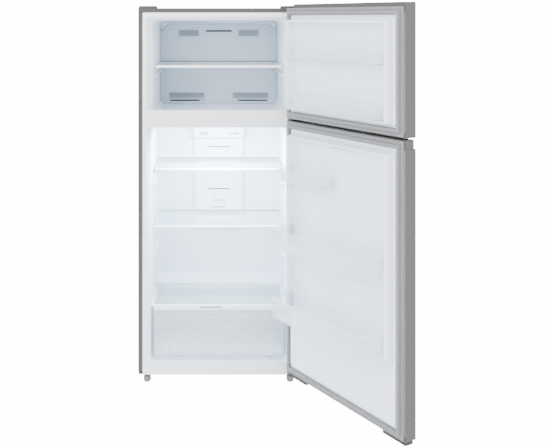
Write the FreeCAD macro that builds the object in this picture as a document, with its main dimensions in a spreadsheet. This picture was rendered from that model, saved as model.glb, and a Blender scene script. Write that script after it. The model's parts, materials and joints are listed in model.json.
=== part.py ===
"""Top freezer refrigerator: a steel cabinet with a freezer above a fresh food
compartment, two doors hinged on the right, and everything that fits inside.

Millimetres. +X right, +Y towards the back, +Z up. The doors are stored open, and
the origin lies on the floor in the middle of the space that the whole then takes.
Each sub-part is modelled from the middle of the cabinet's front, then moved there.
"""

import FreeCAD, Part
import Sketcher
import math
import os
import re

V = FreeCAD.Vector

# The driving dimensions, each an alias, a value and what it measures.
SIZES = [
    ("cabinet_width", 700, "outside width of the steel wrap"),
    ("cabinet_depth", 620, "front flange to back panel"),
    ("cabinet_top", 1630, "floor to the top of the steel wrap"),
    ("wrap_bottom", 53, "floor to the lower edge of the wrap"),
    ("skin", 1, "sheet steel of wrap, doors and back"),
    ("steel_border", 19.5, "width of the steel strip around the front"),
    ("liner_wall", 2, "thermoformed liner thickness"),
    ("opening_inset", 34, "cabinet side to the edge of either opening"),
    # freezer compartment
    ("mullion_height", 75.5, "fresh food opening to the freezer opening"),
    ("lintel_drop", 40, "cabinet top to the upper edge of the freezer opening"),
    ("floor_drop", 24.5, "freezer sill to the freezer's floor"),
    ("ceiling_drop", 55, "cabinet top to the freezer's ceiling"),
    ("freezer_wall_inset", 62, "cabinet side to the freezer's inside wall"),
    ("freezer_throat", 45, "depth of the sloping mouth"),
    ("freezer_foam", 70, "back of the cabinet to the freezer's rear wall"),
    ("evaporator_space", 65, "evaporator cover to the freezer's rear wall"),
    ("cover_wall", 3, "evaporator cover thickness"),
    ("cover_shoulder", 40, "cut-off upper corners of the evaporator cover"),
    ("vent_height", 2.4, "one air slot"),
    ("vent_pitch", 4.6, "distance between air slots"),
    # fresh food compartment
    ("fridge_sill", 99, "front lower edge of the fresh food opening"),
    ("fridge_lintel", 1112, "upper edge of the fresh food opening"),
    ("fridge_floor", 92, "inside floor"),
    ("fridge_wall_inset", 52.5, "cabinet side to the inside wall"),
    ("fridge_throat", 20, "depth of the sloping mouth"),
    ("fridge_foam", 120, "back of the cabinet to the rear wall"),
    ("hump_depth", 302, "back of the cabinet to the compressor hump's front"),
    ("hump_top", 336, "top of the compressor hump"),
    ("bay_depth", 275, "back of the cabinet to the compressor bay's front wall"),
    ("bay_top", 290, "ceiling of the compressor bay"),
    ("duct_half", 118, "half width of the air duct cover"),
    ("duct_depth", 25, "air duct cover thickness"),
    ("duct_bottom", 568, "lower end of the air duct cover"),
    ("housing_bottom", 1002, "lower edge of the control housing"),
    ("housing_depth", 60, "control housing front to rear wall"),
    ("lens_half", 75, "half length of the lamp lens"),
    # shelves and crisper
    ("shelf_gap", 5.5, "shelf end to inside wall"),
    ("shelf_front", 140, "front face to the shelves"),
    ("shelf_back", 34, "rear wall to the shelves"),
    ("shelf_rim", 11.5, "height of the front rim"),
    ("rim_depth", 14, "front to back of the front rim"),
    ("glass", 4, "tempered glass thickness"),
    ("upper_shelf", 905.5, "top of the upper shelf rim"),
    ("lower_shelf", 648.5, "top of the lower shelf rim"),
    ("freezer_shelf_rise", 214, "freezer floor to the top of its shelf"),
    ("freezer_shelf_front", 80, "front face to the freezer shelf"),
    ("freezer_shelf_back", 10, "evaporator cover to the freezer shelf"),
    ("freezer_shelf_gap", 6.5, "freezer shelf end to inside wall"),
    ("ledge_width", 12, "how far a moulded shelf ledge stands out"),
    ("ledge_height", 9, "height of a moulded shelf ledge"),
    ("rest_gap", 0.4, "gap under a piece that slides"),
    ("crisper_front", 38, "front face to the crisper drawer"),
    ("crisper_clearance", 2.5, "crisper drawer to the cover bar over it"),
    ("crisper_lift", 1.5, "front sill to the underside of the crisper drawer"),
    ("crisper_gap", 8.5, "crisper side to inside wall"),
    ("crisper_wall", 3, "crisper wall thickness"),
    ("crisper_corner", 14, "crisper corner radius"),
    ("cover_bar_bottom", 305.5, "lower edge of the crisper cover bar"),
    ("cover_bar_height", 23, "height of the crisper cover bar"),
    ("cover_bar_depth", 8, "thickness of the crisper cover bar"),
    ("slot_half", 84, "half length of the humidity slot"),
    ("slot_height", 5, "height of the humidity slot"),
    ("slot_rise", 9, "lower edge of the bar to the humidity slot"),
    ("slider_length", 72, "length of the humidity slider"),
    ("slider_gap", 0.4, "clearance around the humidity slider"),
    # doors
    ("door_open", 122, "angle of both doors as stored"),
    ("door_thickness", 57, "skin to inner face"),
    ("door_corner", 6, "rounded front corners of a door"),
    ("gasket_gap", 15, "closed door's inner face to the cabinet"),
    ("hinge_inset", 20, "door edge to the hinge axis"),
    ("hinge_back", 32, "hinge axis to the door's inner face"),
    ("door_gap", 7, "fridge door to the freezer door"),
    ("door_rise", 15.5, "freezer door above the cabinet"),
    ("fridge_door_bottom", 73, "lower edge of the fridge door"),
    ("door_lap", 38, "fridge door above the fresh food opening"),
    ("grip_height", 35, "set-back grip along the fridge door's top"),
    ("grip_setback", 10, "how far the grip is set back"),
    ("end_cap", 22, "height of a plastic end cap"),
    ("tall_cap", 40, "height of the freezer door's upper cap"),
    ("block_height", 15, "height of the blocks under the fridge door"),
    ("block_length", 120, "length of the blocks under the fridge door"),
    ("notch_length", 46, "hinge notch along the freezer door's top"),
    ("gasket_edge", 4, "door edge to the gasket"),
    ("gasket_band", 30, "width of the gasket's base"),
    ("gasket_base", 3, "thickness of the gasket's base"),
    ("gasket_drop", 12.5, "freezer door's top to its gasket, less the edge"),
    ("bulb_edge", 18.5, "door edge to the gasket's magnet tube"),
    ("bulb_width", 12, "width of the magnet tube"),
    ("seal_gap", 0.3, "closed magnet tube to the cabinet"),
    ("step_edge", 37, "door edge to the liner's raised step"),
    ("step_height", 10, "how far the step stands off the door"),
    ("dike_edge", 45, "door edge to the liner's raised border"),
    ("dike_slope", 11, "how far the border leans in"),
    ("dike_width", 7, "top of the raised border"),
    ("dike_height", 47, "how far the border stands off the door"),
    ("dike_bottom", 350, "lower end of the fridge door's border"),
    ("dike_reach", 7.5, "opening edge to the border's outer edge"),
    ("recess_floor", 4, "recess floor above the inner face"),
    ("rib_half", 42, "half width of the fridge door's centre rib"),
    ("rib_bottom", 824, "lower end of the centre rib"),
    ("rib_height", 12, "centre rib above the inner face"),
    # door bins
    ("bin_gap", 1, "bin end to the raised border"),
    ("bin_back", 20, "inner face to the back of a bin"),
    ("bin_taper", 34, "how far a bin's end leans in"),
    ("bin_wall", 2.5, "bin wall thickness"),
    ("bin_front", 150, "inner face to the front of a fridge bin"),
    ("bin_height", 84, "height of a fridge bin"),
    ("middle_bin", 646.5, "bottom of the middle fridge bin"),
    ("lower_bin", 363, "bottom of the lower fridge bin"),
    ("small_bin", 914, "bottom of the small fridge bin"),
    ("small_bin_front", 104, "inner face to the front of the small bin"),
    ("small_bin_height", 54, "height of the small bin"),
    ("freezer_bin_front", 75, "inner face to the front of a freezer bin"),
    ("freezer_bin_height", 54, "height of a freezer bin"),
    ("freezer_bin_taper", 18, "how far a freezer bin's end leans in"),
    ("upper_bin_rise", 254, "freezer floor to the upper freezer bin"),
    ("lower_bin_rise", 53, "freezer floor to the lower freezer bin"),
    # hinges
    ("pin_radius", 5, "hinge pins"),
    ("pin_length", 18, "length of a hinge pin"),
    ("pin_fit", 0.06, "radial clearance around a hinge pin"),
    ("plate", 3.5, "hinge plate thickness"),
    ("plate_half", 18, "half width of a hinge plate"),
    ("flange_height", 38, "height of the middle hinge's flange"),
    ("cover_width", 76, "width of a hinge cover"),
    ("cover_depth", 80, "front to back of a hinge cover"),
    ("cover_height", 10, "height of a hinge cover"),
    # base, feet and rollers
    ("rail_bottom", 38, "underside of the base rails"),
    ("rail_width", 34, "width of a base rail"),
    ("rail_inset", 18, "cabinet side to a base rail"),
    ("foot_radius", 16, "levelling foot"),
    ("foot_height", 29, "levelling foot under the rail"),
    ("foot_chamfer", 5, "bevel on the levelling foot"),
    ("foot_inset", 38, "cabinet side to the foot's axis"),
    ("foot_front", 25, "front face to the foot's axis"),
    ("stem_radius", 5, "levelling foot stem"),
    ("stem_fit", 0.06, "radial clearance around a stem or axle"),
    ("roller_radius", 20, "rear roller"),
    ("roller_width", 22, "rear roller"),
    ("roller_back", 60, "back of the cabinet to the rollers' axle"),
    ("roller_inset", 34, "cabinet side to the roller's middle"),
    ("axle_radius", 4, "rear roller axle"),
    # cooling
    ("compressor_x", -130, "compressor's middle, from the centre line"),
    ("compressor_back", 142, "back of the cabinet to the compressor's middle"),
    ("compressor_radius", 78, "compressor shell"),
    ("compressor_rise", 62, "half the compressor shell's height"),
    ("compressor_z", 118, "compressor's middle above the floor"),
    ("sole_drop", 76.5, "compressor's middle to the underside of its sole"),
    ("grommet_radius", 11, "rubber mount under the compressor"),
    ("outlet_drop", 38, "compressor's middle to its outlet stub"),
    ("outlet_reach", 4, "outlet stub beyond the shell"),
    ("inlet_reach", 14, "inlet stub beyond the shell"),
    ("tube_radius", 2.4, "condenser tube"),
    ("coil_pitch", 18, "distance between condenser passes"),
    ("evaporator_half", 230, "half width of the evaporator"),
    ("evaporator_rise", 52, "freezer floor to the lower edge of the fins"),
    ("evaporator_height", 180, "height of the fins"),
    ("fan_drop", 105, "freezer ceiling to the middle of the fan"),
    ("fan_radius", 48, "fan blade tip"),
    ("shaft_radius", 2, "fan motor shaft"),
    ("shaft_fit", 0.06, "radial clearance around the shaft"),
    ("gland_radius", 10, "power inlet body"),
    ("inlet_x", 260, "power inlet from the centre line"),
    ("inlet_rise", 32, "power inlet above the wrap's lower edge"),
    # door switch
    ("switch_x", 260, "door switch from the centre line"),
    ("switch_rise", 32, "fresh food opening to the door switch"),
    ("switch_radius", 4, "door switch plunger"),
    ("switch_reach", 8.5, "plunger in front of the mullion"),
    ("switch_fit", 0.1, "radial clearance around the plunger"),
]

doc = FreeCAD.newDocument("top_freezer_refrigerator")
sheet = doc.addObject("Spreadsheet::Sheet", "sizes")
for row, (alias, number, meaning) in enumerate(SIZES, 1):
    sheet.set(f"A{row}", alias)
    sheet.set(f"B{row}", str(number))
    sheet.set(f"C{row}", meaning)
    sheet.setAlias(f"B{row}", alias)
doc.recompute()
NAMES = {alias for alias, _, _ in SIZES}
SUB_PARTS = []

# Heights and depths that follow from the sizes.
PLACES = {
    "freezer_sill": "fridge_lintel + mullion_height",
    "freezer_lintel": "cabinet_top - lintel_drop",
    "freezer_floor": "freezer_sill - floor_drop",
    "freezer_ceiling": "cabinet_top - ceiling_drop",
    "freezer_rear": "cabinet_depth - freezer_foam",
    "cover_front": "freezer_rear - evaporator_space",
    "fridge_rear": "cabinet_depth - fridge_foam",
    "hump_front": "cabinet_depth - hump_depth",
    "bay_front": "cabinet_depth - bay_depth",
    "shelf_depth": "fridge_rear - shelf_back - shelf_front",
    "freezer_shelf": "freezer_floor + freezer_shelf_rise",
    "freezer_shelf_depth": "cover_front - freezer_shelf_back - freezer_shelf_front",
    "crisper_top": "cover_bar_bottom - crisper_clearance",
    "fridge_door_top": "fridge_lintel + door_lap",
    "freezer_door_bottom": "fridge_door_top + door_gap",
    "freezer_door_top": "cabinet_top + door_rise",
    "upper_freezer_bin": "freezer_floor + upper_bin_rise",
    "lower_freezer_bin": "freezer_floor + lower_bin_rise",
    "roller_front": "cabinet_depth - roller_back",
    "compressor_y": "cabinet_depth - compressor_back",
    "evaporator_bottom": "freezer_floor + evaporator_rise",
    "fan_z": "freezer_ceiling - fan_drop",
    "switch_z": "fridge_lintel + switch_rise",
}

# Places that several sub-parts share, worked out from the sheet.
SIDE = "cabinet_width / 2"
INNER = f"({SIDE} - skin)"
OPENING = f"({SIDE} - opening_inset)"
FREEZER_WALL = f"({SIDE} - freezer_wall_inset)"
FRIDGE_WALL = f"({SIDE} - fridge_wall_inset)"
SHELF_HALF = f"({FRIDGE_WALL} - shelf_gap)"
FREEZER_SHELF_HALF = f"({FREEZER_WALL} - freezer_shelf_gap)"
CRISPER_HALF = f"({FRIDGE_WALL} - crisper_gap)"
CRISPER_BASE = "fridge_sill + crisper_lift"
BACK = "cabinet_depth"
HINGE_X = f"({SIDE} - hinge_inset)"
HINGE_Y = "-(gasket_gap + hinge_back)"
DOOR_REACH = "(cabinet_width - hinge_inset)"
OPEN_X = f"{HINGE_X} - {DOOR_REACH} * cos(door_open) + (door_thickness - hinge_back) * sin(door_open)"
OPEN_Y = f"{HINGE_Y} - {DOOR_REACH} * sin(door_open) + hinge_back * cos(door_open)"
MOVE_X = f"({SIDE} - ({OPEN_X})) / 2"
MOVE_Y = f"-({BACK} + {OPEN_Y}) / 2"
MULLION_LOW = "fridge_lintel + liner_wall"
MULLION_HIGH = "freezer_sill - liner_wall"
FRAME_HALF = f"({SIDE} - steel_border)"
BASE_FLOOR = "(wrap_bottom + skin)"
GLASS_TOP = "cover_bar_bottom + cover_bar_height - skin"
NOTCH_FLOOR = "cabinet_top - rest_gap - rest_gap"
HINGE_GAP_LOW = "fridge_door_top + (freezer_door_bottom - fridge_door_top - plate) / 2"
BORDER_INSIDE = "dike_edge + dike_slope + dike_width"
BIN_END = f"{BORDER_INSIDE} + bin_gap"
BEHIND_RIM = "rim_depth + 6"
SLOT_Z = "cover_bar_bottom + slot_rise"
RAIL_START = "liner_wall + 4"
RAIL_INSIDE = f"{SIDE} - rail_width - rail_inset"
TRAY_TOP = "rail_bottom + 1.5"
SOLE_BOTTOM = "compressor_z - sole_drop"
INLET = ("inlet_x", "wrap_bottom + inlet_rise")
FINS = 24
EVAPORATOR_PASSES = 6

# Which edges of a box run upright, along X and along Y.
UPRIGHT = (1, 3, 5, 7)
FRONT_UPRIGHT = (1, 5)
TURNS = {
    "x": FreeCAD.Rotation(V(0, 1, 0), 90),
    "y": FreeCAD.Rotation(V(1, 0, 0), -90),
    "z": FreeCAD.Rotation(),
}


def spelled_out(match):
    word = match[0]
    if word in PLACES:
        return f"({formula(PLACES[word])})"
    return f"sizes.{word}" if word in NAMES else word


def formula(text):
    """A FreeCAD expression in which each driving dimension names its cell."""
    return re.sub(r"[a-z_]+", spelled_out, str(text))


def size(text):
    return float(sheet.evalExpression(formula(text)))


def bind(piece, **formulas):
    for name, text in formulas.items():
        piece.setExpression(name, formula(text))


def place(piece, x=0, y=0, z=0):
    for axis, text in zip("xyz", (x, y, z)):
        piece.setExpression(f"Placement.Base.{axis}", formula(text))
    return piece


def box(x, y, z):
    """A box from three pairs of formulas, low and high along each axis."""
    piece = doc.addObject("Part::Box", "block")
    for side, (low, high) in zip(("Length", "Width", "Height"), (x, y, z)):
        piece.setExpression(side, formula(f"({high}) - ({low})"))
    return place(piece, x[0], y[0], z[0])


def middle_box(half, y, z):
    return box((f"-({half})", half), y, z)


def rod(axis, at, radius, length):
    """A cylinder that starts at a point and runs along +X, +Y or +Z."""
    piece = doc.addObject("Part::Cylinder", "rod")
    piece.Placement = FreeCAD.Placement(V(), TURNS[axis])
    bind(piece, Radius=radius, Height=length)
    return place(piece, *at)


def wedge(y, x_front, z_front, x_back, z_back):
    """A box whose front and back faces differ, for mouths, borders and bins."""
    piece = doc.addObject("Part::Wedge", "wedge")
    bind(piece, Ymin=y[0], Ymax=y[1], Xmin=x_front[0], Xmax=x_front[1])
    bind(piece, Zmin=z_front[0], Zmax=z_front[1], X2min=x_back[0], X2max=x_back[1])
    bind(piece, Z2min=z_back[0], Z2max=z_back[1])
    return piece


def group(pieces):
    piece = doc.addObject("Part::Compound", "group")
    piece.Links = pieces
    return piece


def fuse(*pieces):
    piece = doc.addObject("Part::MultiFuse", "joined")
    piece.Shapes = list(pieces)
    return piece


def cut(base, *tools):
    piece = doc.addObject("Part::Cut", "cut")
    piece.Base = base
    piece.Tool = tools[0] if len(tools) == 1 else fuse(*tools)
    return piece


def rounded(piece, edges, radius):
    """Rounds numbered edges by a radius from the sheet."""
    doc.recompute()
    softened = doc.addObject("Part::Fillet", "rounded")
    softened.Base = piece
    softened.Edges = [(edge, size(radius), size(radius)) for edge in edges]
    return softened


def sub_part(label, *pieces):
    """Registers a sub-part under the name its file takes."""
    holder = group(list(pieces))
    holder.Label = label
    SUB_PARTS.append(holder)
    return place(holder, MOVE_X, MOVE_Y)


def on_door(label, *pieces):
    """A sub-part of a door: modelled closed about the hinge axis, then turned."""
    holder = sub_part(label, *pieces)
    place(holder, f"{MOVE_X} + {HINGE_X}", f"{MOVE_Y} + {HINGE_Y}")
    holder.setExpression("Placement.Rotation.Angle", formula("door_open"))
    return holder


def body_sketch(label, plane):
    """A PartDesign body with an empty sketch on one of its own planes."""
    body = doc.addObject("PartDesign::Body", label)
    body.Label = label
    SUB_PARTS.append(body)
    sketch = body.newObject("Sketcher::SketchObject", "profile")
    planes = [feature for feature in body.Origin.OriginFeatures if feature.Role == plane]
    sketch.AttachmentSupport = [(planes[0], "")]
    sketch.MapMode = "FlatFace"
    return body, sketch


def revolved(label, outline):
    """A body turned about its own Z axis from (radius, height) formulas."""
    body, sketch = body_sketch(label, "XZ_Plane")
    corners = [V(10 + index, index % 3, 0) for index in range(len(outline))]
    for index, corner in enumerate(corners):
        sketch.addGeometry(Part.LineSegment(corner, corners[(index + 1) % len(corners)]))
    for index in range(len(outline)):
        after = (index + 1) % len(outline)
        sketch.addConstraint(Sketcher.Constraint("Coincident", index, 2, after, 1))
    for index, (radius, height) in enumerate(outline):
        for kind, text in (("DistanceX", radius), ("DistanceY", height)):
            number = sketch.addConstraint(Sketcher.Constraint(kind, -1, 1, index, 1, 10.0))
            sketch.setExpression(f"Constraints[{number}]", formula(text))
    turned = body.newObject("PartDesign::Revolution", "turned")
    turned.Profile = sketch
    turned.ReferenceAxis = (sketch, ["V_Axis"])
    turned.Angle = 360
    body.Tip = turned
    return body


# --- cabinet shell ---------------------------------------------------------


def freezer_space(grow):
    """The freezer's room, or with the liner's wall as grow its outer shape."""
    wall, mouth = f"{FREEZER_WALL} + {grow}", f"{OPENING} + {grow}"
    room = middle_box(
        wall, ("freezer_throat", f"freezer_rear + {grow}"),
        (f"freezer_floor - {grow}", f"freezer_ceiling + {grow}"),
    )
    throat = wedge(
        ("0", "freezer_throat"),
        (f"-({mouth})", mouth), (f"freezer_sill - {grow}", f"freezer_lintel + {grow}"),
        (f"-({wall})", wall), (f"freezer_floor - {grow}", f"freezer_ceiling + {grow}"),
    )
    return [room, throat]


def fridge_space(grow):
    """The fresh food room over the compressor hump, plain or grown by a wall."""
    wall, mouth = f"{FRIDGE_WALL} + {grow}", f"{OPENING} + {grow}"
    low = middle_box(
        wall, ("fridge_throat", f"hump_front + {grow}"),
        (f"fridge_floor - {grow}", f"fridge_lintel + {grow}"),
    )
    high = middle_box(
        wall, ("fridge_throat", f"fridge_rear + {grow}"),
        (f"hump_top - {grow}", f"fridge_lintel + {grow}"),
    )
    throat = wedge(
        ("0", "fridge_throat"),
        (f"-({mouth})", mouth), (f"fridge_sill - {grow}", f"fridge_lintel + {grow}"),
        (f"-({wall})", wall), (f"fridge_floor - {grow}", f"fridge_lintel + {grow}"),
    )
    return [low, high, throat]


def cabinet_wrap():
    outer = middle_box(SIDE, ("0", BACK), ("wrap_bottom", "cabinet_top"))
    inner = middle_box(INNER, ("skin", f"{BACK} + 1"), ("wrap_bottom - 1", "cabinet_top - skin"))
    opening = middle_box(
        FRAME_HALF, ("-1", "skin + 1"), ("wrap_bottom - 1", "cabinet_top - steel_border")
    )
    sub_part("cabinet_wrap", cut(outer, inner, opening))


def back_panel():
    sheet_z = ("bay_top", "cabinet_top - skin")
    sub_part("back_panel", middle_box(INNER, (f"{BACK} - skin", BACK), sheet_z))


def insulation():
    block = middle_box(INNER, ("liner_wall", f"{BACK} - skin"), (BASE_FLOOR, "cabinet_top - skin"))
    bay = middle_box(SIDE, ("bay_front", f"{BACK} + 1"), ("0", "bay_top"))
    rooms = freezer_space("liner_wall") + fridge_space("liner_wall")
    sub_part("insulation", cut(block, bay, switch_hole(), *rooms))


def ledges(wall, front, rear, top):
    """A pair of moulded ledges that carry a shelf whose underside is at top."""
    height = (f"({top}) - rest_gap - ledge_height", f"({top}) - rest_gap")
    left = box((f"-({wall}) - liner_wall / 2", f"-({wall}) + ledge_width"), (front, rear), height)
    right = box((f"({wall}) - ledge_width", f"({wall}) + liner_wall / 2"), (front, rear), height)
    return [left, right]


def freezer_liner():
    frame = middle_box(FRAME_HALF, ("0", "liner_wall"), (MULLION_HIGH, "cabinet_top - steel_border"))
    shell = cut(fuse(frame, *freezer_space("liner_wall")), *freezer_space("0"))
    under = "freezer_shelf - shelf_rim"
    carried = ledges(FREEZER_WALL, f"freezer_shelf_front + {BEHIND_RIM}", "cover_front - 4", under)
    sub_part("freezer_liner", fuse(shell, *carried))


def fridge_liner():
    frame = middle_box(FRAME_HALF, ("0", "liner_wall"), ("fridge_floor + liner_wall", MULLION_LOW))
    shell = cut(fuse(frame, *fridge_space("liner_wall")), *fridge_space("0"))
    front, rear = f"shelf_front + {BEHIND_RIM}", "fridge_rear - 10"
    carried = []
    spacing = "(upper_shelf - lower_shelf) / 4"
    for step in (0, 3, 4):
        carried += ledges(FRIDGE_WALL, front, rear, f"lower_shelf - shelf_rim + {step} * {spacing}")
    cover_z = f"{GLASS_TOP} - glass"
    cover = ledges(FRIDGE_WALL, "crisper_front + cover_bar_depth + 4", "hump_front - 4", cover_z)
    runners = [
        box(across(sign, "200", "212"), ("fridge_throat + 4", "hump_front - 4"),
            ("fridge_floor - liner_wall / 2", f"{CRISPER_BASE} - rest_gap"))
        for sign in (-1, 1)
    ]
    sub_part("fridge_liner", fuse(shell, *carried, *cover, *runners))


def switch_hole():
    return rod("y", ("switch_x", "-1", "switch_z"), "switch_radius + switch_fit", "40")


def mullion_cover():
    strip = middle_box(FRAME_HALF, ("0", "liner_wall"), (MULLION_LOW, MULLION_HIGH))
    sub_part("mullion_cover", cut(strip, switch_hole(), *freezer_space("liner_wall")))


def door_switch_plunger():
    stem = rod("y", ("switch_x", "-switch_reach", "switch_z"), "switch_radius", "switch_reach + 24")
    sub_part("door_switch_plunger", stem)


def lower_front_panel():
    top = "fridge_floor + liner_wall"
    sub_part("lower_front_panel", middle_box(FRAME_HALF, ("0", "liner_wall"), ("rail_bottom", top)))


# --- base ------------------------------------------------------------------


def at_both_sides(make):
    return [make(-1), make(1)]


def across(sign, low, high):
    """A pair of X formulas on one side of the centre line."""
    return (low, high) if sign > 0 else (f"-({high})", f"-({low})")


def base_frame():
    floor = middle_box(INNER, ("liner_wall", "bay_front"), ("wrap_bottom", BASE_FLOOR))
    beam_z = ("rail_bottom", "wrap_bottom")
    beam = middle_box(INNER, (RAIL_START, f"{RAIL_START} + rail_width + 4"), beam_z)
    pieces = [floor, beam]
    holes = []
    axle_x = f"{SIDE} - roller_inset"
    for sign in (-1, 1):
        rail = across(sign, RAIL_INSIDE, f"{SIDE} - rail_inset")
        pieces.append(box(rail, (RAIL_START, f"{BACK} - 4"), beam_z))
        for inner in (f"{axle_x} - roller_width / 2 - 5", f"{axle_x} + roller_width / 2 + 1"):
            cheek = across(sign, inner, f"{inner} + 4")
            cheek_y = ("roller_front - 14", "roller_front + 14")
            pieces.append(box(cheek, cheek_y, ("roller_radius / 2", "rail_bottom + 2")))
        start, axle = f"{axle_x} - roller_width / 2 - 3", "roller_width + 6"
        begin = start if sign > 0 else f"-({start} + {axle})"
        pieces.append(rod("x", (begin, "roller_front", "roller_radius"), "axle_radius", axle))
        well = across(sign, f"{axle_x} - roller_width / 2 - 1", f"{axle_x} + roller_width / 2 + 1")
        reach = ("roller_front - roller_radius - 2", "roller_front + roller_radius + 2")
        holes.append(box(well, reach, ("roller_radius + axle_radius + 4", "wrap_bottom + 5")))
        stem_x = f"{sign} * ({SIDE} - foot_inset)"
        stem_hole = "stem_radius + stem_fit"
        holes.append(rod("z", (stem_x, "foot_front", "0"), stem_hole, f"{BASE_FLOOR} + 1"))
    sub_part("base_frame", cut(fuse(*pieces), *holes))


def front_feet():
    outline = [
        ("0", "0"), ("foot_radius - foot_chamfer", "0"), ("foot_radius", "foot_chamfer"),
        ("foot_radius", "foot_height - foot_chamfer"), ("foot_radius - foot_chamfer", "foot_height"),
        ("stem_radius", "foot_height"), ("stem_radius", f"{BASE_FLOOR}"), ("0", f"{BASE_FLOOR}"),
    ]
    for side, sign in (("left", -1), ("right", 1)):
        body = revolved(f"front_foot_{side}", outline)
        place(body, f"{MOVE_X} + {sign} * ({SIDE} - foot_inset)", f"{MOVE_Y} + foot_front")


def rear_rollers():
    bore = "axle_radius + stem_fit"
    half = "roller_width / 2"
    outline = [
        (bore, f"-{half}"), ("roller_radius - 2", f"-{half}"), ("roller_radius", f"2 - {half}"),
        ("roller_radius", f"{half} - 2"), ("roller_radius - 2", half), (bore, half),
    ]
    for side, sign in (("left", -1), ("right", 1)):
        body = revolved(f"rear_roller_{side}", outline)
        body.Placement = FreeCAD.Placement(V(), TURNS["x"])
        axle = (f"{MOVE_X} + {sign} * ({SIDE} - roller_inset)", f"{MOVE_Y} + roller_front")
        place(body, *axle, "roller_radius")


# --- compressor bay --------------------------------------------------------


def compressor_base():
    tray = middle_box(RAIL_INSIDE, ("bay_front", f"{BACK} - 6"), ("rail_bottom", TRAY_TOP))
    sub_part("compressor_base", tray)


def compressor_grommets():
    feet = []
    for left in (-1, 1):
        for front in (-1, 1):
            x, y = f"compressor_x + {left} * 80", f"compressor_y + {front} * 55"
            tall = f"{SOLE_BOTTOM} - ({TRAY_TOP})"
            feet.append(rod("z", (x, y, TRAY_TOP), "grommet_radius", tall))
    return feet


def compressor():
    shell = doc.addObject("Part::Ellipsoid", "shell")
    bind(shell, Radius2="compressor_radius", Radius1="compressor_rise")
    shell.Angle1, shell.Angle2, shell.Angle3 = -90, 90, 360
    place(shell, "compressor_x", "compressor_y", "compressor_z")
    sole_x = ("compressor_x - 96", "compressor_x + 96")
    sole_y = ("compressor_y - 70", "compressor_y + 70")
    sole = box(sole_x, sole_y, (SOLE_BOTTOM, f"{SOLE_BOTTOM} + 3.5"))
    legs = box(
        ("compressor_x - 40", "compressor_x + 40"), ("compressor_y - 40", "compressor_y + 40"),
        ("compressor_z - 75", "compressor_z - 40"),
    )
    starter = box(
        ("compressor_x - compressor_radius - 18", "compressor_x - 50"),
        ("compressor_y - 32", "compressor_y + 32"), ("compressor_z - 26", "compressor_z + 34"),
    )
    out_of = ("compressor_x", "compressor_y", "compressor_z - outlet_drop")
    outlet = rod("x", out_of, "tube_radius + 1.5", "compressor_radius + outlet_reach")
    into = ("compressor_x", "compressor_y", "compressor_z")
    inlet = rod("y", into, "tube_radius + 2.5", "compressor_radius + inlet_reach")
    sub_part("compressor", fuse(shell, sole, legs, starter, outlet, inlet), *compressor_grommets())


def tube(points, radius, bend):
    """A round tube along straight runs with a rounded bend at each corner."""
    edges = []
    start = points[0]
    for corner, after in zip(points[1:-1], points[2:]):
        back, ahead = (start - corner).normalize(), (after - corner).normalize()
        cut_back = bend / math.tan(back.getAngle(ahead) / 2)
        first, last = corner + back * cut_back, corner + ahead * cut_back
        inward = (back + ahead).normalize()
        middle = corner + inward * (math.hypot(cut_back, bend) - bend)
        if first.distanceToPoint(start) > 1e-6:
            edges.append(Part.makeLine(start, first))
        edges.append(Part.Arc(first, middle, last).toShape())
        start = last
    edges.append(Part.makeLine(start, points[-1]))
    path = Part.Wire(edges)
    ring = Part.Wire([Part.makeCircle(radius, points[0], points[1] - points[0])])
    return path.makePipeShell([ring], True, False)


def tube_part(label, points, radius, bend):
    piece = doc.addObject("Part::Feature", "pipe")
    piece.Shape = tube(points, radius, bend)
    sub_part(label, piece)


def condenser_coil():
    x = size("compressor_x + compressor_radius + outlet_reach")
    y, z = size("compressor_y"), size("compressor_z - outlet_drop")
    left, right = x + 70, size(f"{RAIL_INSIDE} - 28")
    pitch = size("coil_pitch")
    passes = 10
    points = [V(x, y, z)]
    for level in range(passes):
        near, far = (right, left) if level % 2 == 0 else (left, right)
        points.append(V(near, y, z + level * pitch))
        if level < passes - 1:
            points.append(V(near, y, z + (level + 1) * pitch))
        else:
            points.append(V(near, y, size("bay_top")))
    tube_part("condenser_coil", points, size("tube_radius"), pitch / 2 - 0.5)


def suction_pipe():
    x, z = size("compressor_x"), size("compressor_z")
    y = size("compressor_y + compressor_radius + inlet_reach")
    bend = 12
    behind = y + bend + 4
    points = [V(x, y, z), V(x, behind, z), V(x, behind, size("bay_top"))]
    tube_part("suction_pipe", points, size("tube_radius + 1.2"), bend)


def drip_pan():
    x = ("compressor_x - 100", "compressor_x + 100")
    y = ("bay_front + 40", "compressor_y + compressor_radius + 4")
    z = ("compressor_z + compressor_rise + 14", "compressor_z + compressor_rise + 44")
    wall = "liner_wall"
    outer = rounded(box(x, y, z), UPRIGHT, "crisper_corner")
    room = box(
        (f"{x[0]} + {wall}", f"{x[1]} - {wall}"), (f"{y[0]} + {wall}", f"{y[1]} - {wall}"),
        (f"{z[0]} + {wall}", f"{z[1]} + 1"),
    )
    sub_part("drip_pan", cut(outer, rounded(room, UPRIGHT, "crisper_corner")))


def rear_cover():
    panel = middle_box(f"{INNER} - 4", (f"{BACK} - 2", BACK), ("wrap_bottom", "bay_top"))
    openings = []
    for column in range(-3, 4):
        for row in range(6):
            x = (f"{column} * 80 - 28", f"{column} * 80 + 28")
            low = f"wrap_bottom + 70 + {row} * 24"
            openings.append(box(x, (f"{BACK} - 3", f"{BACK} + 1"), (low, f"{low} + 6")))
    openings.append(rod("y", (INLET[0], f"{BACK} - 3", INLET[1]), "gland_radius", "4"))
    sub_part("rear_cover", cut(panel, group(openings)))


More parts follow.
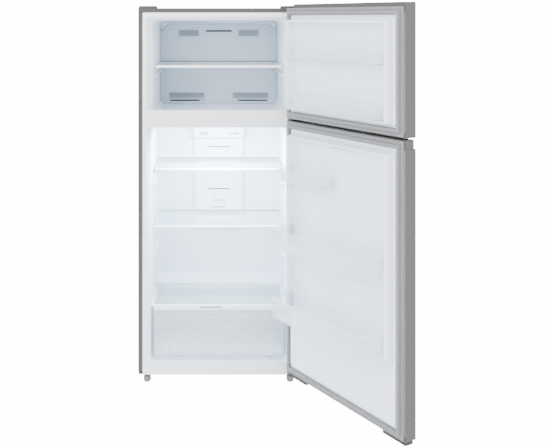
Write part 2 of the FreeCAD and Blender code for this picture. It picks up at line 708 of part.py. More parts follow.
def power_inlet():
    barrel = rod("y", (INLET[0], f"{BACK} - 14", INLET[1]), "gland_radius", "15")
    collar = rod("y", (INLET[0], BACK, INLET[1]), "gland_radius + 4", "3")
    bore = rod("y", (INLET[0], f"{BACK} - 15", INLET[1]), "gland_radius - 4", "20")
    sub_part("power_inlet", cut(fuse(barrel, collar), bore))


# --- freezer fittings ------------------------------------------------------


def slots(x, top, rows, front, depth):
    """A stack of level air slots, the highest with its upper edge at top."""
    tools = []
    for row in range(rows):
        high = f"({top}) - {row} * vent_pitch"
        tools.append(box(x, (front, depth), (f"{high} - vent_height", high)))
    return tools


def evaporator_cover():
    half, shoulder = f"{FREEZER_WALL} - 1", "cover_shoulder"
    face = ("cover_front", "cover_front + cover_wall")
    plate_top, lid_z = "freezer_ceiling - 20 - cover_shoulder", "freezer_ceiling - 20"
    plate = middle_box(half, face, ("freezer_floor", plate_top))
    narrow = f"{half} - {shoulder}"
    head = wedge(("0", shoulder), (f"-({half})", half), face, (f"-({narrow})", narrow), face)
    head.Placement = FreeCAD.Placement(V(), FreeCAD.Rotation(V(1, 0, 0), 90))
    place(head, "0", "cover_front + cover_front + cover_wall", plate_top)
    lid = middle_box(narrow, ("cover_front", "freezer_rear"), (lid_z, f"{lid_z} + cover_wall"))
    nose = middle_box("66", ("cover_front - 8", "cover_front"), ("freezer_floor", "freezer_floor + 54"))
    shell = fuse(plate, head, lid, nose)
    cuts = []
    depth = ("cover_front - 1", "cover_front + cover_wall + 1")
    high, low = "freezer_ceiling - 47", "freezer_floor + 56"
    for sign in (-1, 1):
        cuts += slots(across(sign, "98", "196"), high, 6, *depth)
        cuts += slots(across(sign, "70", "244"), low, 2, *depth)
        cuts += slots(across(sign, "94", "240"), f"{low} - 34", 1, *depth)
    cuts += slots(("-64", "64"), high, 1, *depth)
    sub_part("evaporator_cover", cut(shell, group(cuts)))


def evaporator():
    half, low = "evaporator_half", "evaporator_bottom"
    y = ("cover_front + cover_wall + 8", "freezer_rear - 10")
    middle = "(cover_front + cover_wall + freezer_rear - 2) / 2"
    tubes = [
        rod("x", (f"-{half} - 12", middle, f"{low} + 15 + {level} * 30"), "4", f"2 * {half} + 24")
        for level in range(EVAPORATOR_PASSES)
    ]
    fins = []
    z = (low, f"{low} + evaporator_height")
    for index in range(FINS):
        x = f"-{half} + {index} * ({half} - 1) * 2 / {FINS - 1}"
        fins.append(box((x, f"{x} + 1"), y, z))
    ends = [
        box((f"{sign} * ({half} + 12) - 1", f"{sign} * ({half} + 12) + 1"), y, z) for sign in (-1, 1)
    ]
    sub_part("evaporator", fuse(*tubes, *fins, *ends))


def defrost_heater():
    y = "(cover_front + cover_wall + freezer_rear) / 2"
    bar = rod("x", ("-evaporator_half", y, "evaporator_bottom - 18"), "5", "2 * evaporator_half")
    sub_part("defrost_heater", bar)


def fan_motor():
    can = rod("y", ("0", "freezer_rear - 24", "fan_z"), "24", "24")
    shaft = rod("y", ("0", "freezer_rear - 44", "fan_z"), "shaft_radius", "22")
    sub_part("fan_motor", fuse(can, shaft))


def fan_blade():
    y = "freezer_rear - 42"
    hub = rod("y", ("0", y, "fan_z"), "16", "14")
    bore = rod("y", ("0", f"{y} - 1", "fan_z"), "shaft_radius + shaft_fit", "16")
    blades = []
    count = 5
    for index in range(count):
        blade = doc.addObject("Part::Box", "blade")
        bind(blade, Length="fan_radius - 12", Width="2", Height="18")
        around = FreeCAD.Rotation(V(0, 1, 0), 360 / count * (index + 0.5))
        start = around.multVec(V(12, 0, -5))
        blade.Placement = FreeCAD.Placement(V(), around.multiply(FreeCAD.Rotation(V(1, 0, 0), 45)))
        blades.append(place(blade, f"{start.x:.3f}", f"{y} + 12", f"fan_z + ({start.z:.3f})"))
    sub_part("fan_blade", fuse(cut(hub, bore), *blades))


# --- shelves, crisper and air duct -----------------------------------------


def shelf(name, half, top, front, depth):
    """A glass shelf: a pane held in a front rim and a rear rail."""
    rear = f"{front} + {depth}"
    pane_z = (f"{top} - 2 - glass", f"{top} - 2")
    pane = middle_box(f"{half} - 3", (f"{front} + 3", f"{rear} - 3"), pane_z)
    rim = middle_box(half, (front, f"{front} + rim_depth"), (f"{top} - shelf_rim", top))
    rail = middle_box(half, (f"{rear} - 10", rear), (f"{top} - shelf_rim", top))
    bars = [
        box(across(sign, f"{half} - 8", half), (f"{front} + rim_depth", f"{rear} - 10"),
            (f"{top} - shelf_rim", f"{top} - 2 - glass"))
        for sign in (-1, 1)
    ]
    room = middle_box(f"{half} - 3", (f"{front} + 3", f"{rear} - 3"), pane_z)
    sub_part(f"{name}_glass", pane)
    sub_part(f"{name}_trim", cut(fuse(rim, rail, *bars), room))


def crisper_drawer():
    x = (f"-{CRISPER_HALF}", CRISPER_HALF)
    y = ("crisper_front", "hump_front - 8")
    z = (CRISPER_BASE, "crisper_top")
    outer = rounded(box(x, y, z), UPRIGHT, "crisper_corner")
    wall = "crisper_wall"
    room = box(
        (f"{x[0]} + {wall}", f"{x[1]} - {wall}"), (f"{y[0]} + {wall}", f"{y[1]} - {wall}"),
        (f"{z[0]} + {wall}", f"{z[1]} + 1"),
    )
    grip_z = ("crisper_top - 72", "crisper_top - 30")
    grip = box(("-52", "62"), (f"{y[0]} - 1", f"{y[0]} + crisper_wall / 2"), grip_z)
    sub_part("crisper_drawer", cut(outer, rounded(room, UPRIGHT, "crisper_corner"), grip))


def crisper_cover():
    half = f"{CRISPER_HALF} - 3"
    rear = "hump_front - 5"
    pane = middle_box(
        f"{half} - 2", ("crisper_front + cover_bar_depth", rear), (f"{GLASS_TOP} - glass", GLASS_TOP)
    )
    y = ("crisper_front", "crisper_front + cover_bar_depth")
    z = ("cover_bar_bottom", "cover_bar_bottom + cover_bar_height")
    slot = middle_box("slot_half", (f"{y[0]} - 1", f"{y[1]} + 1"), (SLOT_Z, f"{SLOT_Z} + slot_height"))
    rail_z = (f"{GLASS_TOP} - glass - 6", f"{GLASS_TOP} - glass")
    rail = middle_box(f"{half} - 12", (f"{rear} - 12", rear), rail_z)
    sub_part("crisper_cover_glass", pane)
    sub_part("crisper_cover_frame", cut(middle_box(half, y, z), slot), rail)


def humidity_slider():
    x = ("slot_half - slider_gap - slider_length", "slot_half - slider_gap")
    stem = box(
        x, ("crisper_front - slider_gap", "crisper_front + cover_bar_depth"),
        (f"{SLOT_Z} + slider_gap", f"{SLOT_Z} + slot_height - slider_gap"),
    )
    face_z = (f"{SLOT_Z} - 5", f"{SLOT_Z} + slot_height + 5")
    face = box(x, ("crisper_front - 4", "crisper_front - slider_gap"), face_z)
    sub_part("humidity_slider", fuse(stem, face))


def air_duct_cover():
    front = "fridge_rear - duct_depth"
    block = middle_box("duct_half", (front, "fridge_rear"), ("duct_bottom", "housing_bottom"))
    tools = []
    depth = (f"{front} - 1", f"{front} + 6")
    for drop, half in ((56, 58), (110, 58), (137, 58), (256, 58), (310, 26), (343, 34)):
        tools += slots((f"-{half}", half), f"housing_bottom - {drop}", 1, *depth)
    sub_part("air_duct_cover", cut(block, group(tools)))


def control_housing():
    front = "fridge_rear - housing_depth"
    block = middle_box("duct_half + 3", (front, "fridge_rear"), ("housing_bottom", "fridge_lintel"))
    tools = []
    for sign in (-1, 1):
        tools += slots(across(sign, "54", "96"), "housing_bottom + 24", 2, f"{front} - 1", f"{front} + 8")
    sub_part("control_housing", cut(block, group(tools)))


def lamp_lens():
    y, z = ("shelf_front - 70", "shelf_front - 30"), ("fridge_lintel - 6", "fridge_lintel")
    lens = rounded(middle_box("lens_half", y, z), UPRIGHT, "door_corner")
    sub_part("lamp_lens", lens)


# --- doors -----------------------------------------------------------------


def along(low, high):
    """X formulas about the hinge axis, from distances to the hinged edge."""
    return (f"hinge_inset - ({high})", f"hinge_inset - ({low})")


def inward(distance):
    """A Y formula about the hinge axis, from a distance off the inner face."""
    return f"hinge_back + ({distance})"


def door_box(a, b, z):
    return box(along(*a), (inward(b[0]), inward(b[1])), z)


def door_blank(inset, b, z):
    """A full-width slab with its two front corners rounded."""
    slab = door_box((inset, f"cabinet_width - {inset}"), b, z)
    return rounded(slab, FRONT_UPRIGHT, "door_corner")


def hinge_bore(z, length):
    return rod("z", ("0", "0", z), "pin_radius + pin_fit", length)


def notch():
    """The room that the top hinge needs in the freezer door's corner."""
    z = (NOTCH_FLOOR, "freezer_door_top + 1")
    return door_box(("-1", "notch_length"), ("-door_thickness - 1", "gasket_gap"), z)


def door_skin(label, low, high, *tools):
    outer = door_blank("0", ("-door_thickness", "0"), (low, high))
    inner = door_blank("skin", ("skin - door_thickness", "1"), (f"{low} - 1", f"{high} + 1"))
    on_door(label, cut(outer, inner, *tools))


def door_core(low, high):
    return door_blank("skin", ("skin - door_thickness", "0"), (low, high))


def door_gasket(label, low, high):
    def slab(edge, b):
        return door_box((edge, f"cabinet_width - ({edge})"), b, (f"{low} + {edge}", f"{high} - ({edge})"))

    def ring(edge, width, b):
        return cut(slab(edge, b), slab(f"{edge} + {width}", (f"{b[0]} - 1", f"{b[1]} + 1")))

    base = ring("gasket_edge", "gasket_band", ("liner_wall", "liner_wall + gasket_base"))
    bulb = ring("bulb_edge", "bulb_width", ("liner_wall + gasket_base", "gasket_gap - seal_gap"))
    on_door(label, fuse(base, bulb))


def raised_border(low, high, top_low, top_high):
    """The liner's border: wide at the door, narrower where it ends inside."""
    narrow = "dike_edge + dike_slope"
    return wedge(
        (inward("0"), inward("dike_height")),
        along("dike_edge", "cabinet_width - dike_edge"), (low, high),
        along(narrow, f"cabinet_width - ({narrow})"), (top_low, top_high),
    )


def raised_step(low, high):
    return door_box(("step_edge", "cabinet_width - step_edge"), ("0", "step_height"), (low, high))


def recess(low, high):
    wide = (BORDER_INSIDE, f"cabinet_width - ({BORDER_INSIDE})")
    return door_box(wide, ("recess_floor", "dike_height + 1"), (low, high))


def bin_rests(bottom):
    """Two lugs on the liner, just under the ends of a bin."""
    z = (f"{bottom} - rest_gap - 8", f"{bottom} - rest_gap")
    b = ("recess_floor", "bin_back + 12")
    low, high = f"{BORDER_INSIDE} - 1", f"{BORDER_INSIDE} + 9"
    near = door_box((low, high), b, z)
    far = door_box((f"cabinet_width - ({high})", f"cabinet_width - ({low})"), b, z)
    return [near, far]


def bin_tray(label, near, far, bottom, height, front, taper):
    """An open door bin whose ends lean in towards its front."""
    def block(wall, b, z):
        wide = along(f"{near} + {wall}", f"{far} - {wall}")
        tight = along(f"{near} + {taper} + {wall}", f"{far} - {taper} - {wall}")
        return wedge((inward(b[0]), inward(b[1])), wide, z, tight, z)

    outer = block("0", ("bin_back", front), (bottom, f"{bottom} + {height}"))
    room_z = (f"{bottom} + bin_wall", f"{bottom} + {height} + 1")
    room = block("bin_wall", ("bin_back + bin_wall", f"{front} - bin_wall"), room_z)
    on_door(label, cut(outer, room))


def freezer_door():
    low, high = "freezer_door_bottom", "freezer_door_top"
    door_skin("freezer_door_skin", low, high, notch())
    top_bore = hinge_bore("cabinet_top - pin_length - 2", "pin_length + 8")
    upper = cut(door_core(f"{high} - tall_cap", high), notch(), top_bore)
    lower = cut(door_core(low, f"{low} + end_cap"), hinge_bore(f"{low} - 1", "pin_length + 2"))
    on_door("freezer_door_caps", upper, lower)
    on_door("freezer_door_foam", door_core(f"{low} + end_cap", f"{high} - tall_cap"))
    sheet_face = door_box(
        ("2", "cabinet_width - 2"), ("0", "liner_wall"), (f"{low} + 2", f"{high} - 2")
    )
    start = "freezer_sill + dike_reach"
    border = raised_border(start, "freezer_lintel", f"{start} + 9", "freezer_ceiling - 5")
    step = raised_step(start, "freezer_lintel + 2")
    hollow = recess("lower_freezer_bin - 4", "freezer_ceiling - 13")
    lugs = bin_rests("upper_freezer_bin")
    shell = cut(fuse(sheet_face, step, border), hollow, notch())
    on_door("freezer_door_liner", fuse(shell, *lugs))
    door_gasket("freezer_door_gasket", low, f"{high} - gasket_drop")
    far = f"cabinet_width - ({BIN_END})"
    shape = ("freezer_bin_height", "freezer_bin_front", "freezer_bin_taper")
    for name, bottom in (("upper", "upper_freezer_bin"), ("lower", "lower_freezer_bin")):
        bin_tray(f"freezer_bin_{name}", BIN_END, far, bottom, *shape)


def fridge_door():
    low, high = "fridge_door_bottom", "fridge_door_top"
    grip_bottom = f"{high} - grip_height"
    door_skin("fridge_door_skin", low, grip_bottom)
    setback = "grip_setback - door_thickness"
    rail = door_box(("0", "cabinet_width"), (setback, "0"), (grip_bottom, high))
    bore = hinge_bore(f"{high} - pin_length - 1", "pin_length + 2")
    on_door("fridge_door_grip", cut(rounded(rail, FRONT_UPRIGHT, "door_corner"), bore))
    cap = [door_core(low, f"{low} + end_cap")]
    foot_b, foot_z = ("10 - door_thickness", "-6"), (f"{low} - block_height", low)
    for start in ("4", "cabinet_width - 4 - block_length"):
        foot = door_box((start, f"{start} + block_length"), foot_b, foot_z)
        cap.append(rounded(foot, UPRIGHT, "door_corner"))
    low_bore = hinge_bore(f"{low} - block_height - 1", "pin_length + 2")
    on_door("fridge_door_bottom_cap", cut(fuse(*cap), low_bore))
    on_door("fridge_door_foam", door_core(f"{low} + end_cap", grip_bottom))
    sheet_face = door_box(
        ("2", "cabinet_width - 2"), ("0", "liner_wall"), (f"{low} + 2", f"{high} - 2")
    )
    start, end = "fridge_sill + 2 * dike_reach", "fridge_lintel - dike_reach"
    step = raised_step(start, end)
    border = raised_border("dike_bottom - 12", end, "dike_bottom + 12", "fridge_lintel - 18")
    hollow = recess(f"{start} + 26", "fridge_lintel - 36")
    rib = door_box(
        ("cabinet_width / 2 - rib_half", "cabinet_width / 2 + rib_half"),
        ("0", "rib_height"), ("rib_bottom", "fridge_lintel - 30"),
    )
    lugs = bin_rests("middle_bin") + bin_rests("lower_bin") + bin_rests("small_bin")[:1]
    shell = cut(fuse(sheet_face, step, border), hollow)
    on_door("fridge_door_liner", fuse(shell, rib, *lugs))
    door_gasket("fridge_door_gasket", low, high)
    far = f"cabinet_width - ({BIN_END})"
    for name, bottom in (("middle", "middle_bin"), ("lower", "lower_bin")):
        bin_tray(f"fridge_bin_{name}", BIN_END, far, bottom, "bin_height", "bin_front", "bin_taper")
    small_far = "cabinet_width / 2 - rib_half / 4"
    shape = ("small_bin_height", "small_bin_front", "freezer_bin_taper")
    bin_tray("fridge_bin_small", BIN_END, small_far, "small_bin", *shape)


# --- hinges ----------------------------------------------------------------


def hinge_arm(z):
    """A flat plate from the cabinet's front to a round end about the axis."""
    wide = (f"{HINGE_X} - plate_half", f"{HINGE_X} + plate_half")
    arm = box(wide, (HINGE_Y, "0"), (z, f"{z} + plate"))
    return [arm, rod("z", (HINGE_X, HINGE_Y, z), "plate_half", "plate")]


def hinge_pin(z):
    return rod("z", (HINGE_X, HINGE_Y, z), "pin_radius", "pin_length")


def top_hinge():
    wide = (f"{SIDE} - cover_width + 6", f"{SIDE} - 6")
    seat = box(wide, ("0", "cover_depth - 10"), ("cabinet_top", "cabinet_top + plate"))
    pin = hinge_pin("cabinet_top - pin_length + skin")
    sub_part("top_hinge", fuse(seat, *hinge_arm("cabinet_top"), pin))


def cap_block(sign):
    x = across(sign, f"{SIDE} - cover_width - 2", f"{SIDE} - 2")
    return box(x, ("2", "cover_depth + 2"), ("cabinet_top", "cabinet_top + cover_height"))


def hinge_cover():
    lobe_z = ("cabinet_top + plate", "cabinet_top + cover_height")
    block = rounded(cap_block(1), UPRIGHT, "door_corner")
    arm = box((f"{HINGE_X} - plate_half", f"{HINGE_X} + plate_half"), (HINGE_Y, "20"), lobe_z)
    end = rod("z", (HINGE_X, HINGE_Y, lobe_z[0]), "plate_half", f"{lobe_z[1]} - ({lobe_z[0]})")
    under = box(
        (f"{SIDE} - cover_width + 5", f"{SIDE} - 5"), ("-1", "cover_depth - 9"),
        ("cabinet_top - 1", "cabinet_top + plate"),
    )
    throat = box(
        (f"{HINGE_X} - plate_half - 1", f"{HINGE_X} + plate_half + 1"), ("-1", "10"),
        ("cabinet_top - 1", "cabinet_top + plate"),
    )
    sub_part("hinge_cover", cut(fuse(block, arm, end), under, throat))


def hinge_hole_cap():
    sub_part("hinge_hole_cap", rounded(cap_block(-1), UPRIGHT, "door_corner"))


def middle_hinge():
    plate_z = HINGE_GAP_LOW
    middle = f"({plate_z} + plate / 2)"
    flange = box(
        (f"{SIDE} - 48", f"{SIDE} - 2"), ("-2.5", "0"),
        (f"{middle} - flange_height / 2", f"{middle} + flange_height / 2"),
    )
    upper = hinge_pin(f"{plate_z} + skin")
    lower = hinge_pin(f"{plate_z} + plate - skin - pin_length")
    sub_part("middle_hinge", fuse(flange, *hinge_arm(plate_z), upper, lower))


def bottom_hinge():
    plate_z = "fridge_door_bottom - block_height - rest_gap - plate"
    flange_z = ("rail_bottom + 2", f"{plate_z} + plate")
    flange = box((f"{SIDE} - 52", f"{SIDE} - 2"), ("-3", "0"), flange_z)
    pin = hinge_pin(f"{plate_z} + skin")
    sub_part("bottom_hinge", fuse(flange, *hinge_arm(plate_z), pin))


def screws():
    """Pan heads on the hinge flanges and around the rear cover."""
    heads = []
    middle = f"({HINGE_GAP_LOW} + plate / 2)"
    for inset in (40, 10):
        for sign in (-1, 1):
            z = f"{middle} + {sign} * 11"
            heads.append(rod("y", (f"{SIDE} - {inset}", "-4.5", z), "4", "2"))
    for inset in (44, 12):
        heads.append(rod("y", (f"{SIDE} - {inset}", "-5", "rail_bottom + 8"), "4", "2"))
    for column in (-1, 0, 1):
        for z in ("wrap_bottom + 10", "bay_top - 10"):
            heads.append(rod("y", (f"{column} * ({SIDE} - 20)", BACK, z), "4.5", "2"))
    sub_part("cabinet_screws", *heads)


def build():
    for make in (
        cabinet_wrap, back_panel, insulation, freezer_liner, fridge_liner, mullion_cover,
        door_switch_plunger, lower_front_panel, base_frame, front_feet, rear_rollers, compressor_base,
        compressor, condenser_coil, suction_pipe, drip_pan, rear_cover, power_inlet, evaporator_cover,
        evaporator, defrost_heater, fan_motor, fan_blade, crisper_drawer, crisper_cover,
        humidity_slider, air_duct_cover, control_housing, lamp_lens, freezer_door, fridge_door,
        top_hinge, hinge_cover, hinge_hole_cap, middle_hinge, bottom_hinge, screws,
    ):
        make()
    shelf("upper_shelf", SHELF_HALF, "upper_shelf", "shelf_front", "shelf_depth")
    shelf("lower_shelf", SHELF_HALF, "lower_shelf", "shelf_front", "shelf_depth")
    place_of = ("freezer_shelf", "freezer_shelf_front", "freezer_shelf_depth")
    shelf("freezer_shelf", FREEZER_SHELF_HALF, *place_of)


def write_parts():
    doc.recompute()
    failed = [o.Name for o in doc.Objects if {"Invalid", "Error"} & set(o.State)]
    if failed:
        raise SystemExit(f"failed objects: {failed}")
    for piece in SUB_PARTS:
        if piece.Shape.isNull() or not piece.Shape.isValid() or not piece.Shape.Solids:
            raise SystemExit(f"bad shape: {piece.Label}")
    os.makedirs("parts", exist_ok=True)
    for piece in SUB_PARTS:
        piece.Shape.exportStep(f"parts/{piece.Label}.step")
    print(len(SUB_PARTS), "sub-parts written")


build()
write_parts()
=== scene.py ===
# %% [markdown]
# # A top freezer refrigerator, standing open
# The cabinet, the doors, the shelves and every hinge already exist as exact solids with their joints.
# This lesson dresses them: soft moulded edges, thermoformed liners, clear bins, grilles, gaskets and
# finishes that react to light. We start by loading the solids, because every later size is read from them.

import json
import math

import bmesh
import bpy
from mathutils import Matrix, Vector

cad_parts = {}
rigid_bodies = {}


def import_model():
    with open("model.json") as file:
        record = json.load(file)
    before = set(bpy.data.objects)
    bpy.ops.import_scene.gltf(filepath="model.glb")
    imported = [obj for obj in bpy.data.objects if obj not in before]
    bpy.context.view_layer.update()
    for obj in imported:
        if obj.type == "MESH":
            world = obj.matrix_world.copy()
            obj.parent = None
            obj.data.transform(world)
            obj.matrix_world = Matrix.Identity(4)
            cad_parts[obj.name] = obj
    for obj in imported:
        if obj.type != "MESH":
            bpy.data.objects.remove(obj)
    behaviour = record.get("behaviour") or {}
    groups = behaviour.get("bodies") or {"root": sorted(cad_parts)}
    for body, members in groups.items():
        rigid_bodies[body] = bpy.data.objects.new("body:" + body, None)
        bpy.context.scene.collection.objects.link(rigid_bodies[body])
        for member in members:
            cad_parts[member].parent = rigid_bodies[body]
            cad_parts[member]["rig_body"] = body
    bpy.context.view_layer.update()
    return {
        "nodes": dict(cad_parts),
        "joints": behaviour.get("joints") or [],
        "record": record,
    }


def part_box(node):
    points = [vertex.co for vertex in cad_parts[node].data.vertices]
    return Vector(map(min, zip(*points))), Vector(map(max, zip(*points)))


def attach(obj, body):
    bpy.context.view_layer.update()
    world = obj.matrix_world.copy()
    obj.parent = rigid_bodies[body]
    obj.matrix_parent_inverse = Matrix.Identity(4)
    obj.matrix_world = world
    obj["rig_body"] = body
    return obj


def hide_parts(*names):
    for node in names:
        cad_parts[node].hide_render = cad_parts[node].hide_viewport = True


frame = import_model()

# %% [markdown]
# The cabinet's front is the plane that everything is measured from. The doors are stored open, turned
# about a pin, so pieces on a door are modelled closed and flat, in a frame of their own whose origin is
# that pin. One matrix then carries them to where the door stands.

# %% Places read from the solids
MM = 0.001
wrap_low, wrap_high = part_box("cabinet_wrap")
CENTRE_X = (wrap_low.x + wrap_high.x) / 2
FRONT_Y = wrap_low.y
HALF_WIDTH = (wrap_high.x - wrap_low.x) / 2
DOOR_WIDTH = 2 * HALF_WIDTH
hinge = next(joint for joint in frame["joints"] if joint["name"] == "freezer_door_hinge")
PIN = Vector((hinge["pos_m"][0], hinge["pos_m"][1], 0))
DOOR_OPEN = math.radians(-hinge["range_deg"][0])
HINGE_INSET = CENTRE_X + HALF_WIDTH - PIN.x
HINGE_BACK = 32 * MM
DOOR_PLACE = Matrix.Translation(PIN) @ Matrix.Rotation(DOOR_OPEN, 4, "Z")
print("pin", tuple(round(c, 4) for c in PIN), "open", round(math.degrees(DOOR_OPEN)))


# %% [markdown]
# ## The view
# A long, level lens stands well in front and above the middle, so upright edges stay upright. The picture
# is framed by shifting the lens instead of tilting it, which is what an architect's camera does.

# %% Camera
CAMERA_BACK = 3.55
CAMERA_HEIGHT = 1.587
lens = bpy.data.cameras.new("camera")
lens.lens = 53.32
lens.shift_x = 0.1038
lens.shift_y = -0.3732
lens.clip_end = 60
camera = bpy.data.objects.new("camera", lens)
camera.location = (CENTRE_X, FRONT_Y - CAMERA_BACK, CAMERA_HEIGHT)
camera.rotation_euler = (math.radians(90), 0, 0)
bpy.context.scene.collection.objects.link(camera)
bpy.context.scene.camera = camera
print("lens", round(lens.lens, 1), "mm")

# %% [markdown]
# ## The light
# Studio pictures of appliances are lit by large soft boxes from the front and above, with a bright
# room all round. Two small panels inside the compartments stand for the lamps that a cook would see.


# %% Soft boxes
def soft_box(name, place, aim, width, height, power, tint=(1, 1, 1)):
    """A rectangular light at a place, facing a point; mirrors don't show it."""
    light = bpy.data.lights.new(name, "AREA")
    light.shape = "RECTANGLE"
    light.size, light.size_y = width, height
    light.energy = power
    light.color = tint
    holder = bpy.data.objects.new(name, light)
    holder.visible_glossy = False
    holder.location = place
    holder.rotation_euler = (Vector(aim) - Vector(place)).to_track_quat("-Z", "Y").to_euler()
    bpy.context.scene.collection.objects.link(holder)


MIDDLE = (CENTRE_X, FRONT_Y + 0.3, 0.85)
soft_box("key_light", (CENTRE_X - 1.6, FRONT_Y - 3.0, 2.5), MIDDLE, 2.2, 2.2, 90)
soft_box("fill_light", (CENTRE_X + 2.6, FRONT_Y - 1.6, 1.5), MIDDLE, 1.6, 2.4, 40)
soft_box("back_light", (CENTRE_X, FRONT_Y + 3.0, 2.4), MIDDLE, 2.4, 1.6, 60)
COOL = (0.80, 0.91, 1.0)
LAMP_Y = FRONT_Y + 0.10
soft_box("fridge_glow", (CENTRE_X, LAMP_Y, 1.095), (CENTRE_X, FRONT_Y + 0.25, 0.5), 0.4, 0.06, 24.0, COOL)
soft_box("freezer_glow", (CENTRE_X, LAMP_Y, 1.555), (CENTRE_X, FRONT_Y + 0.3, 1.2), 0.4, 0.06, 0.8, COOL)
print("lights", len(bpy.data.lights))

# %% [markdown]
# The room has three strengths. Seen directly it is pure white, it lights the surfaces gently, and it is
# dim in reflections, so the steel keeps its grey. Each Mix Shader swaps in one strength for one kind of
# ray, which leaves every strength a plain number.

# %% Room
ROOM_SEEN, ROOM_DIFFUSE, ROOM_GLOSS = 16.0, 3.6, 0.6
room = bpy.data.worlds.new("bright_room")
room.use_nodes = True
tree = room.node_tree
path = tree.nodes.new("ShaderNodeLightPath")
light = tree.nodes["Background"]
light.inputs["Color"].default_value = (1, 1, 1, 1)
light.inputs["Strength"].default_value = ROOM_DIFFUSE
for ray, strength in (("Is Glossy Ray", ROOM_GLOSS), ("Is Camera Ray", ROOM_SEEN)):
    other = tree.nodes.new("ShaderNodeBackground")
    other.inputs["Color"].default_value = (1, 1, 1, 1)
    other.inputs["Strength"].default_value = strength
    mix = tree.nodes.new("ShaderNodeMixShader")
    tree.links.new(path.outputs[ray], mix.inputs[0])
    tree.links.new(light.outputs[0], mix.inputs[1])
    tree.links.new(other.outputs[0], mix.inputs[2])
    light = mix
tree.links.new(light.outputs[0], tree.nodes["World Output"].inputs["Surface"])
bpy.context.scene.world = room
print("room nodes", len(tree.nodes))

# %% [markdown]
# The floor is one large square. It belongs to the stage, not to the refrigerator.

# %% Floor
FLOOR_HALF = 12.0
CORNERS = ((-1, -1), (1, -1), (1, 1), (-1, 1))
floor_mesh = bpy.data.meshes.new("floor")
floor_mesh.from_pydata([(x * FLOOR_HALF, y * FLOOR_HALF, 0) for x, y in CORNERS], [], [(0, 1, 2, 3)])
floor = bpy.data.objects.new("floor", floor_mesh)
bpy.context.scene.collection.objects.link(floor)
print("floor", 2 * FLOOR_HALF, "m wide")


# %% [markdown]
# ## Writing materials as sums
# A material is a graph of small boxes. Wiring them by hand hides what they say, so one class lets a
# value in the graph be added and multiplied like a number, and one method makes any other box.

# %% A value in a material
class Value:
    """One output socket. Arithmetic on it adds Math nodes to the same material."""

    def __init__(self, finish, socket):
        self.finish, self.socket = finish, socket

    def math(self, operation, first, second):
        return self.finish.node("Math", {"operation": operation}, {0: first, 1: second})[0]

    def __add__(self, other):
        return self.math("ADD", self, other)

    __radd__ = __add__

    def __mul__(self, other):
        return self.math("MULTIPLY", self, other)

    __rmul__ = __mul__


print("sums and products ready")

# %% [markdown]
# Every finish starts from the Principled shader. What is the same all over goes on the shader's own
# sockets, and what varies is wired to the few sockets that can be baked into an image.


# %% A finish
class Finish:
    """A Principled material; constants go on the shader's own sockets."""

    def __init__(self, name, color, roughness, metallic=0.0, **constants):
        self.material = bpy.data.materials.new(name)
        self.material.use_nodes = True
        self.tree = self.material.node_tree
        self.shader = self.tree.nodes["Principled BSDF"]
        self.set("Base Color", (*color, 1.0))
        self.set("Roughness", roughness)
        self.set("Metallic", metallic)
        for socket, number in constants.items():
            self.set(socket.replace("_", " "), number)
        self.material.diffuse_color = (*color, 1.0)

    def feed(self, socket, value):
        if isinstance(value, Value):
            self.tree.links.new(value.socket, socket)
        else:
            socket.default_value = value

    def set(self, socket, value):
        self.feed(self.shader.inputs[socket], value)
        return self

    def node(self, kind, settings=None, inputs=None):
        """Any other node: its settings first, then the values or links of its sockets."""
        made = self.tree.nodes.new("ShaderNode" + kind)
        for key, setting in (settings or {}).items():
            setattr(made, key, setting)
        for key, value in (inputs or {}).items():
            self.feed(made.inputs[key], value)
        return [Value(self, socket) for socket in made.outputs]

    def place(self, turn=0.0, stretch=(1, 1, 1)):
        """Object coordinates, turned about the vertical and stretched."""
        start = self.node("TexCoord")[3]
        return self.node("Mapping", {}, {"Vector": start, "Rotation": (0, 0, turn), "Scale": stretch})[0]

    def noise(self, scale, detail=2.0, turn=0.0, stretch=(1, 1, 1)):
        settings = {"Vector": self.place(turn, stretch), "Scale": scale, "Detail": detail}
        return self.node("TexNoise", {}, settings)[0]

    def tint(self, mask, dark, light):
        """Base colour between two colours, by a mask."""
        mixed = self.node("Mix", {"data_type": "RGBA"}, {0: mask, 6: (*dark, 1), 7: (*light, 1)})
        return self.set("Base Color", mixed[2])

    def bump(self, amount, distance=0.0004, strength=0.3):
        made = self.node("Bump", {}, {"Strength": strength, "Distance": distance, "Height": amount})
        return self.set("Normal", made[0])


def lighter(color, by):
    return tuple(min(1.0, channel * by) for channel in color)


print("material tools ready")

# %% [markdown]
# ## Finishes
# Sheet steel first. The real cabinet is coated with a silver lacquer: tiny metal flakes, a slightly
# uneven gloss and the faint ripple that painters call orange peel. The doors wear the same lacquer, a
# little lighter, and its pattern is turned with them. Bare steel is brushed or galvanised.


# %% Painted and bare metals
def silver_lacquer(name, color, turn=0.0):
    finish = Finish(name, color, 0.42, 0.85, Coat_Weight=0.1, Coat_Roughness=0.25)
    flakes = finish.noise(2600, 1.0, turn)
    clouds = finish.noise(3.0, 2.0, turn)
    finish.tint(flakes * 0.5 + clouds * 0.5, lighter(color, 0.90), lighter(color, 1.10))
    finish.set("Roughness", 0.36 + clouds * 0.12)
    return finish.bump(finish.noise(420, 2.0, turn), 0.0002, 0.12)


def brushed(name, color, roughness, stretch=(60, 60, 1)):
    """Grain along one direction: noise squeezed across it."""
    finish = Finish(name, color, roughness, 0.9)
    grain = finish.noise(18.0, 3.0, 0.0, stretch)
    finish.tint(grain, lighter(color, 0.82), lighter(color, 1.12))
    finish.set("Roughness", roughness - 0.08 + grain * 0.16)
    return finish.bump(grain, 0.0002, 0.2)


